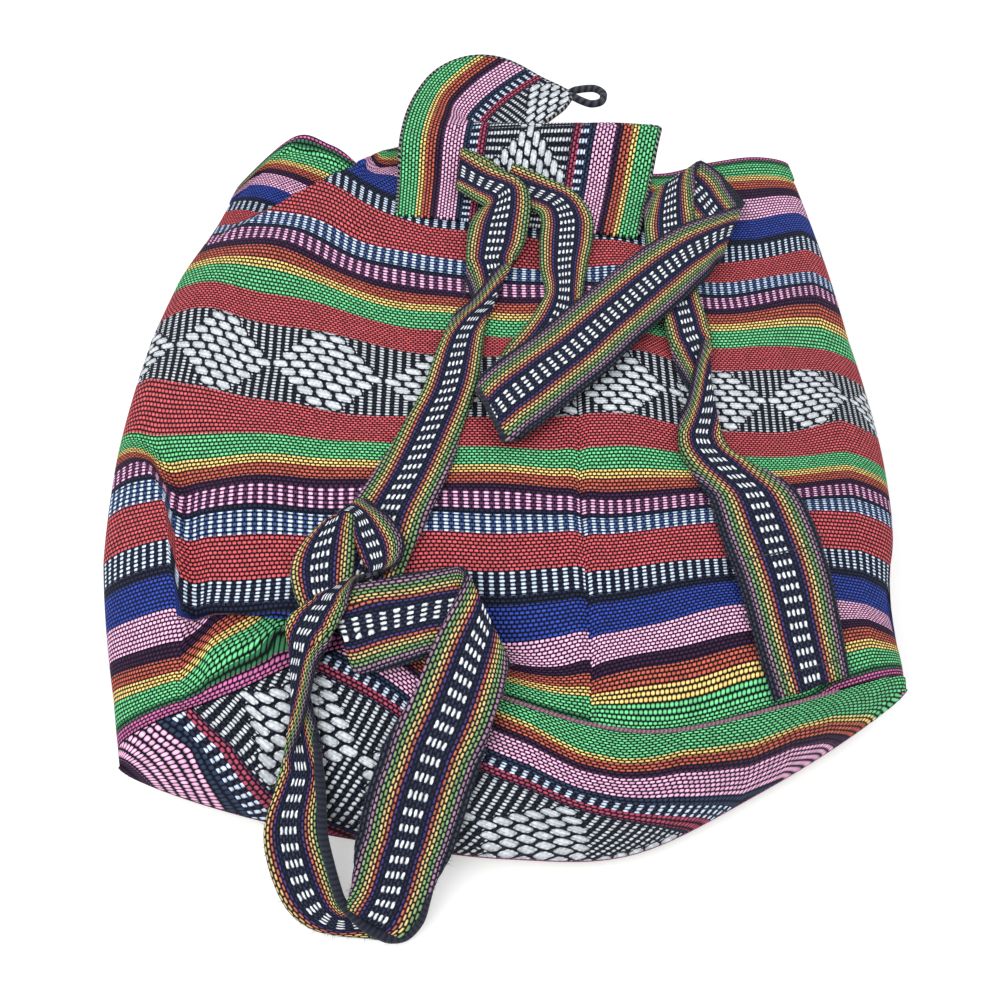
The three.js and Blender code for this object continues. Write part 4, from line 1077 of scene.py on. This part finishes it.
flap_edge = np.concatenate([flap_points[:-1, 0], flap_points[-1, :-1], flap_points[:0:-1, -1]])
flap_overcast = tube_piece("flap_overcast_edge", flap_edge, 1.0, edge_thread, sides=8)
seam_line = np.stack(upper_seam(np.linspace(-0.32, 0.8, 200)), -1) + [0, -0.2, 0.1]
base_seam = tube_piece("base_seam_yarn", seam_line, 0.75, seam_yarn, sides=8)
selvage = TURNED_SELVAGE + [0, 0, 1] * drape_height(*TURNED_SELVAGE[:, :2].T)[:, None]
selvage_line = smooth_path(selvage, 120)
strap_turn = tube_piece(
    "strap_turned_selvage", selvage_line, 2.1, selvage_yarn, sides=10, taper=9
)
fold_line = across_band(right_points, 12, 0.04, 0.96)
strap_fold = tube_piece("strap_folded_end", fold_line, 1.2, selvage_yarn, sides=8)
bar_line, end_line = across_band(right_points, 38.6, 0.12, 0.88), across_band(right_points, 40.6, 0.1, 0.9)
strap_bar = tube_piece("strap_bar_stitch", bar_line, 0.35, cord_yarn, sides=6)
strap_end = tube_piece("strap_end_stitch", end_line, 0.35, cord_yarn, sides=6)
lint_right = lint_piece("strap_lint_right", right_outline, 1500, 3)
lint_left = lint_piece("strap_lint_left", left_outline, 2000, 4)

# Loop, button and thread


def loop_path():
    """Line of the loop's cord: out from the flap's tip on one side, round, and back on the other."""
    tip = flap_point(np.array(FLAP_WIDTH / 2), np.array(float(FLAP_LENGTH)))
    forward = np.array([math.cos(LOOP_ANGLE), math.sin(LOOP_ANGLE), 0])
    aside = np.array([-forward[1], forward[0], 0])
    out = np.array([-0.25, 0, 0.3, 0.65, 0.94, 1, 0.94, 0.65, 0.3, 0, -0.25])
    wide = np.array([0.25, 0.45, 0.8, 1, 0.6, 0, -0.6, -1, -0.8, -0.45, -0.25])
    clear = LOOP_CORD / 2 + GAP
    knots = tip + (clear + LOOP_LENGTH * out)[:, None] * forward
    return smooth_path(knots + (LOOP_WIDTH / 2 * wide)[:, None] * aside, 90)


loop_line = loop_path()
loop = tube_piece("button_loop", loop_line, LOOP_CORD / 2, cord_yarn, sides=14)
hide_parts("flap_loop")

for node, finish in (("front_button", button_wood), ("button_thread", cord_yarn)):
    carried = bpy.data.objects[node]
    carried.data.materials.clear()
    carried.data.materials.append(finish)

# Floor, light and camera


def seen_rays(t):
    """One for the rays that show a thing to the eye, straight, mirrored or through glass, and zero
    for those that carry light."""
    rays = add(t, "LightPath").node.outputs
    seen = add(t, "Math MAXIMUM", rays["Is Camera Ray"], rays["Is Glossy Ray"])
    return add(t, "Math MAXIMUM", seen, rays["Is Transmission Ray"])


def white_floor(name):
    """Matt white paper: plain diffuse, and for the camera a little added glow so that it reads as
    white around the shadow."""
    finish, t = new_finish(name)
    paper = add(t, "BsdfDiffuse", linear("e6e6e6"))
    glow = add(t, "Emission", (1, 1, 1, 1), 0.42)
    bright = add(t, "AddShader", paper, glow)
    add(t, "OutputMaterial", add(t, "MixShader", seen_rays(t), paper, bright))
    return finish


# Half the floor's width and its height, in metres, a little below the bag so that nothing flickers
FLOOR_HALF, FLOOR_Z = 4, -0.0006
floor_mesh = bpy.data.meshes.new("floor")
corners = [(x * FLOOR_HALF, y * FLOOR_HALF, FLOOR_Z) for x, y in ((-1, -1), (1, -1), (1, 1), (-1, 1))]
floor_mesh.from_pydata(corners, [], [(0, 1, 2, 3)])
floor_mesh.materials.append(white_floor("matt_white_paper"))
floor = bpy.data.objects.new("floor", floor_mesh)
bpy.context.scene.collection.objects.link(floor)

world = bpy.data.worlds.new("studio")
world.use_nodes = True
world.node_tree.nodes.clear()
# White to the eye, and a little over half as strong as a light
sky = add(world.node_tree, "Math MULTIPLY_ADD", seen_rays(world.node_tree), 0.45, 0.55)
add(world.node_tree, "OutputWorld", add(world.node_tree, "Background", (1, 1, 1, 1), sky))
bpy.context.scene.world = world

for name, place, size, power in (
    ("key_softbox", (-0.7, -0.5, 1.3), 1.2, 14.0),
    ("fill_softbox", (0.9, 0.3, 1.2), 1.2, 7.0),
):
    lamp = bpy.data.lights.new(name, "AREA")
    lamp.shape, lamp.size, lamp.energy = "SQUARE", size, power
    holder = bpy.data.objects.new(name, lamp)
    reach = math.hypot(place[0], place[1])
    holder.location = place
    holder.rotation_euler = (math.atan2(reach, place[2]), 0, math.atan2(place[1], place[0]) + math.pi / 2)
    bpy.context.scene.collection.objects.link(holder)

lens = bpy.data.cameras.new("camera")
lens.sensor_width, lens.lens = 36, 49.68
camera = bpy.data.objects.new("camera", lens)
camera.location = (0, -0.332, 0.560)
camera.rotation_euler = (math.radians(30), 0, 0)
bpy.context.scene.collection.objects.link(camera)
bpy.context.scene.camera = camera
bpy.context.scene.view_settings.view_transform = "Standard"

bpy.context.view_layer.update()
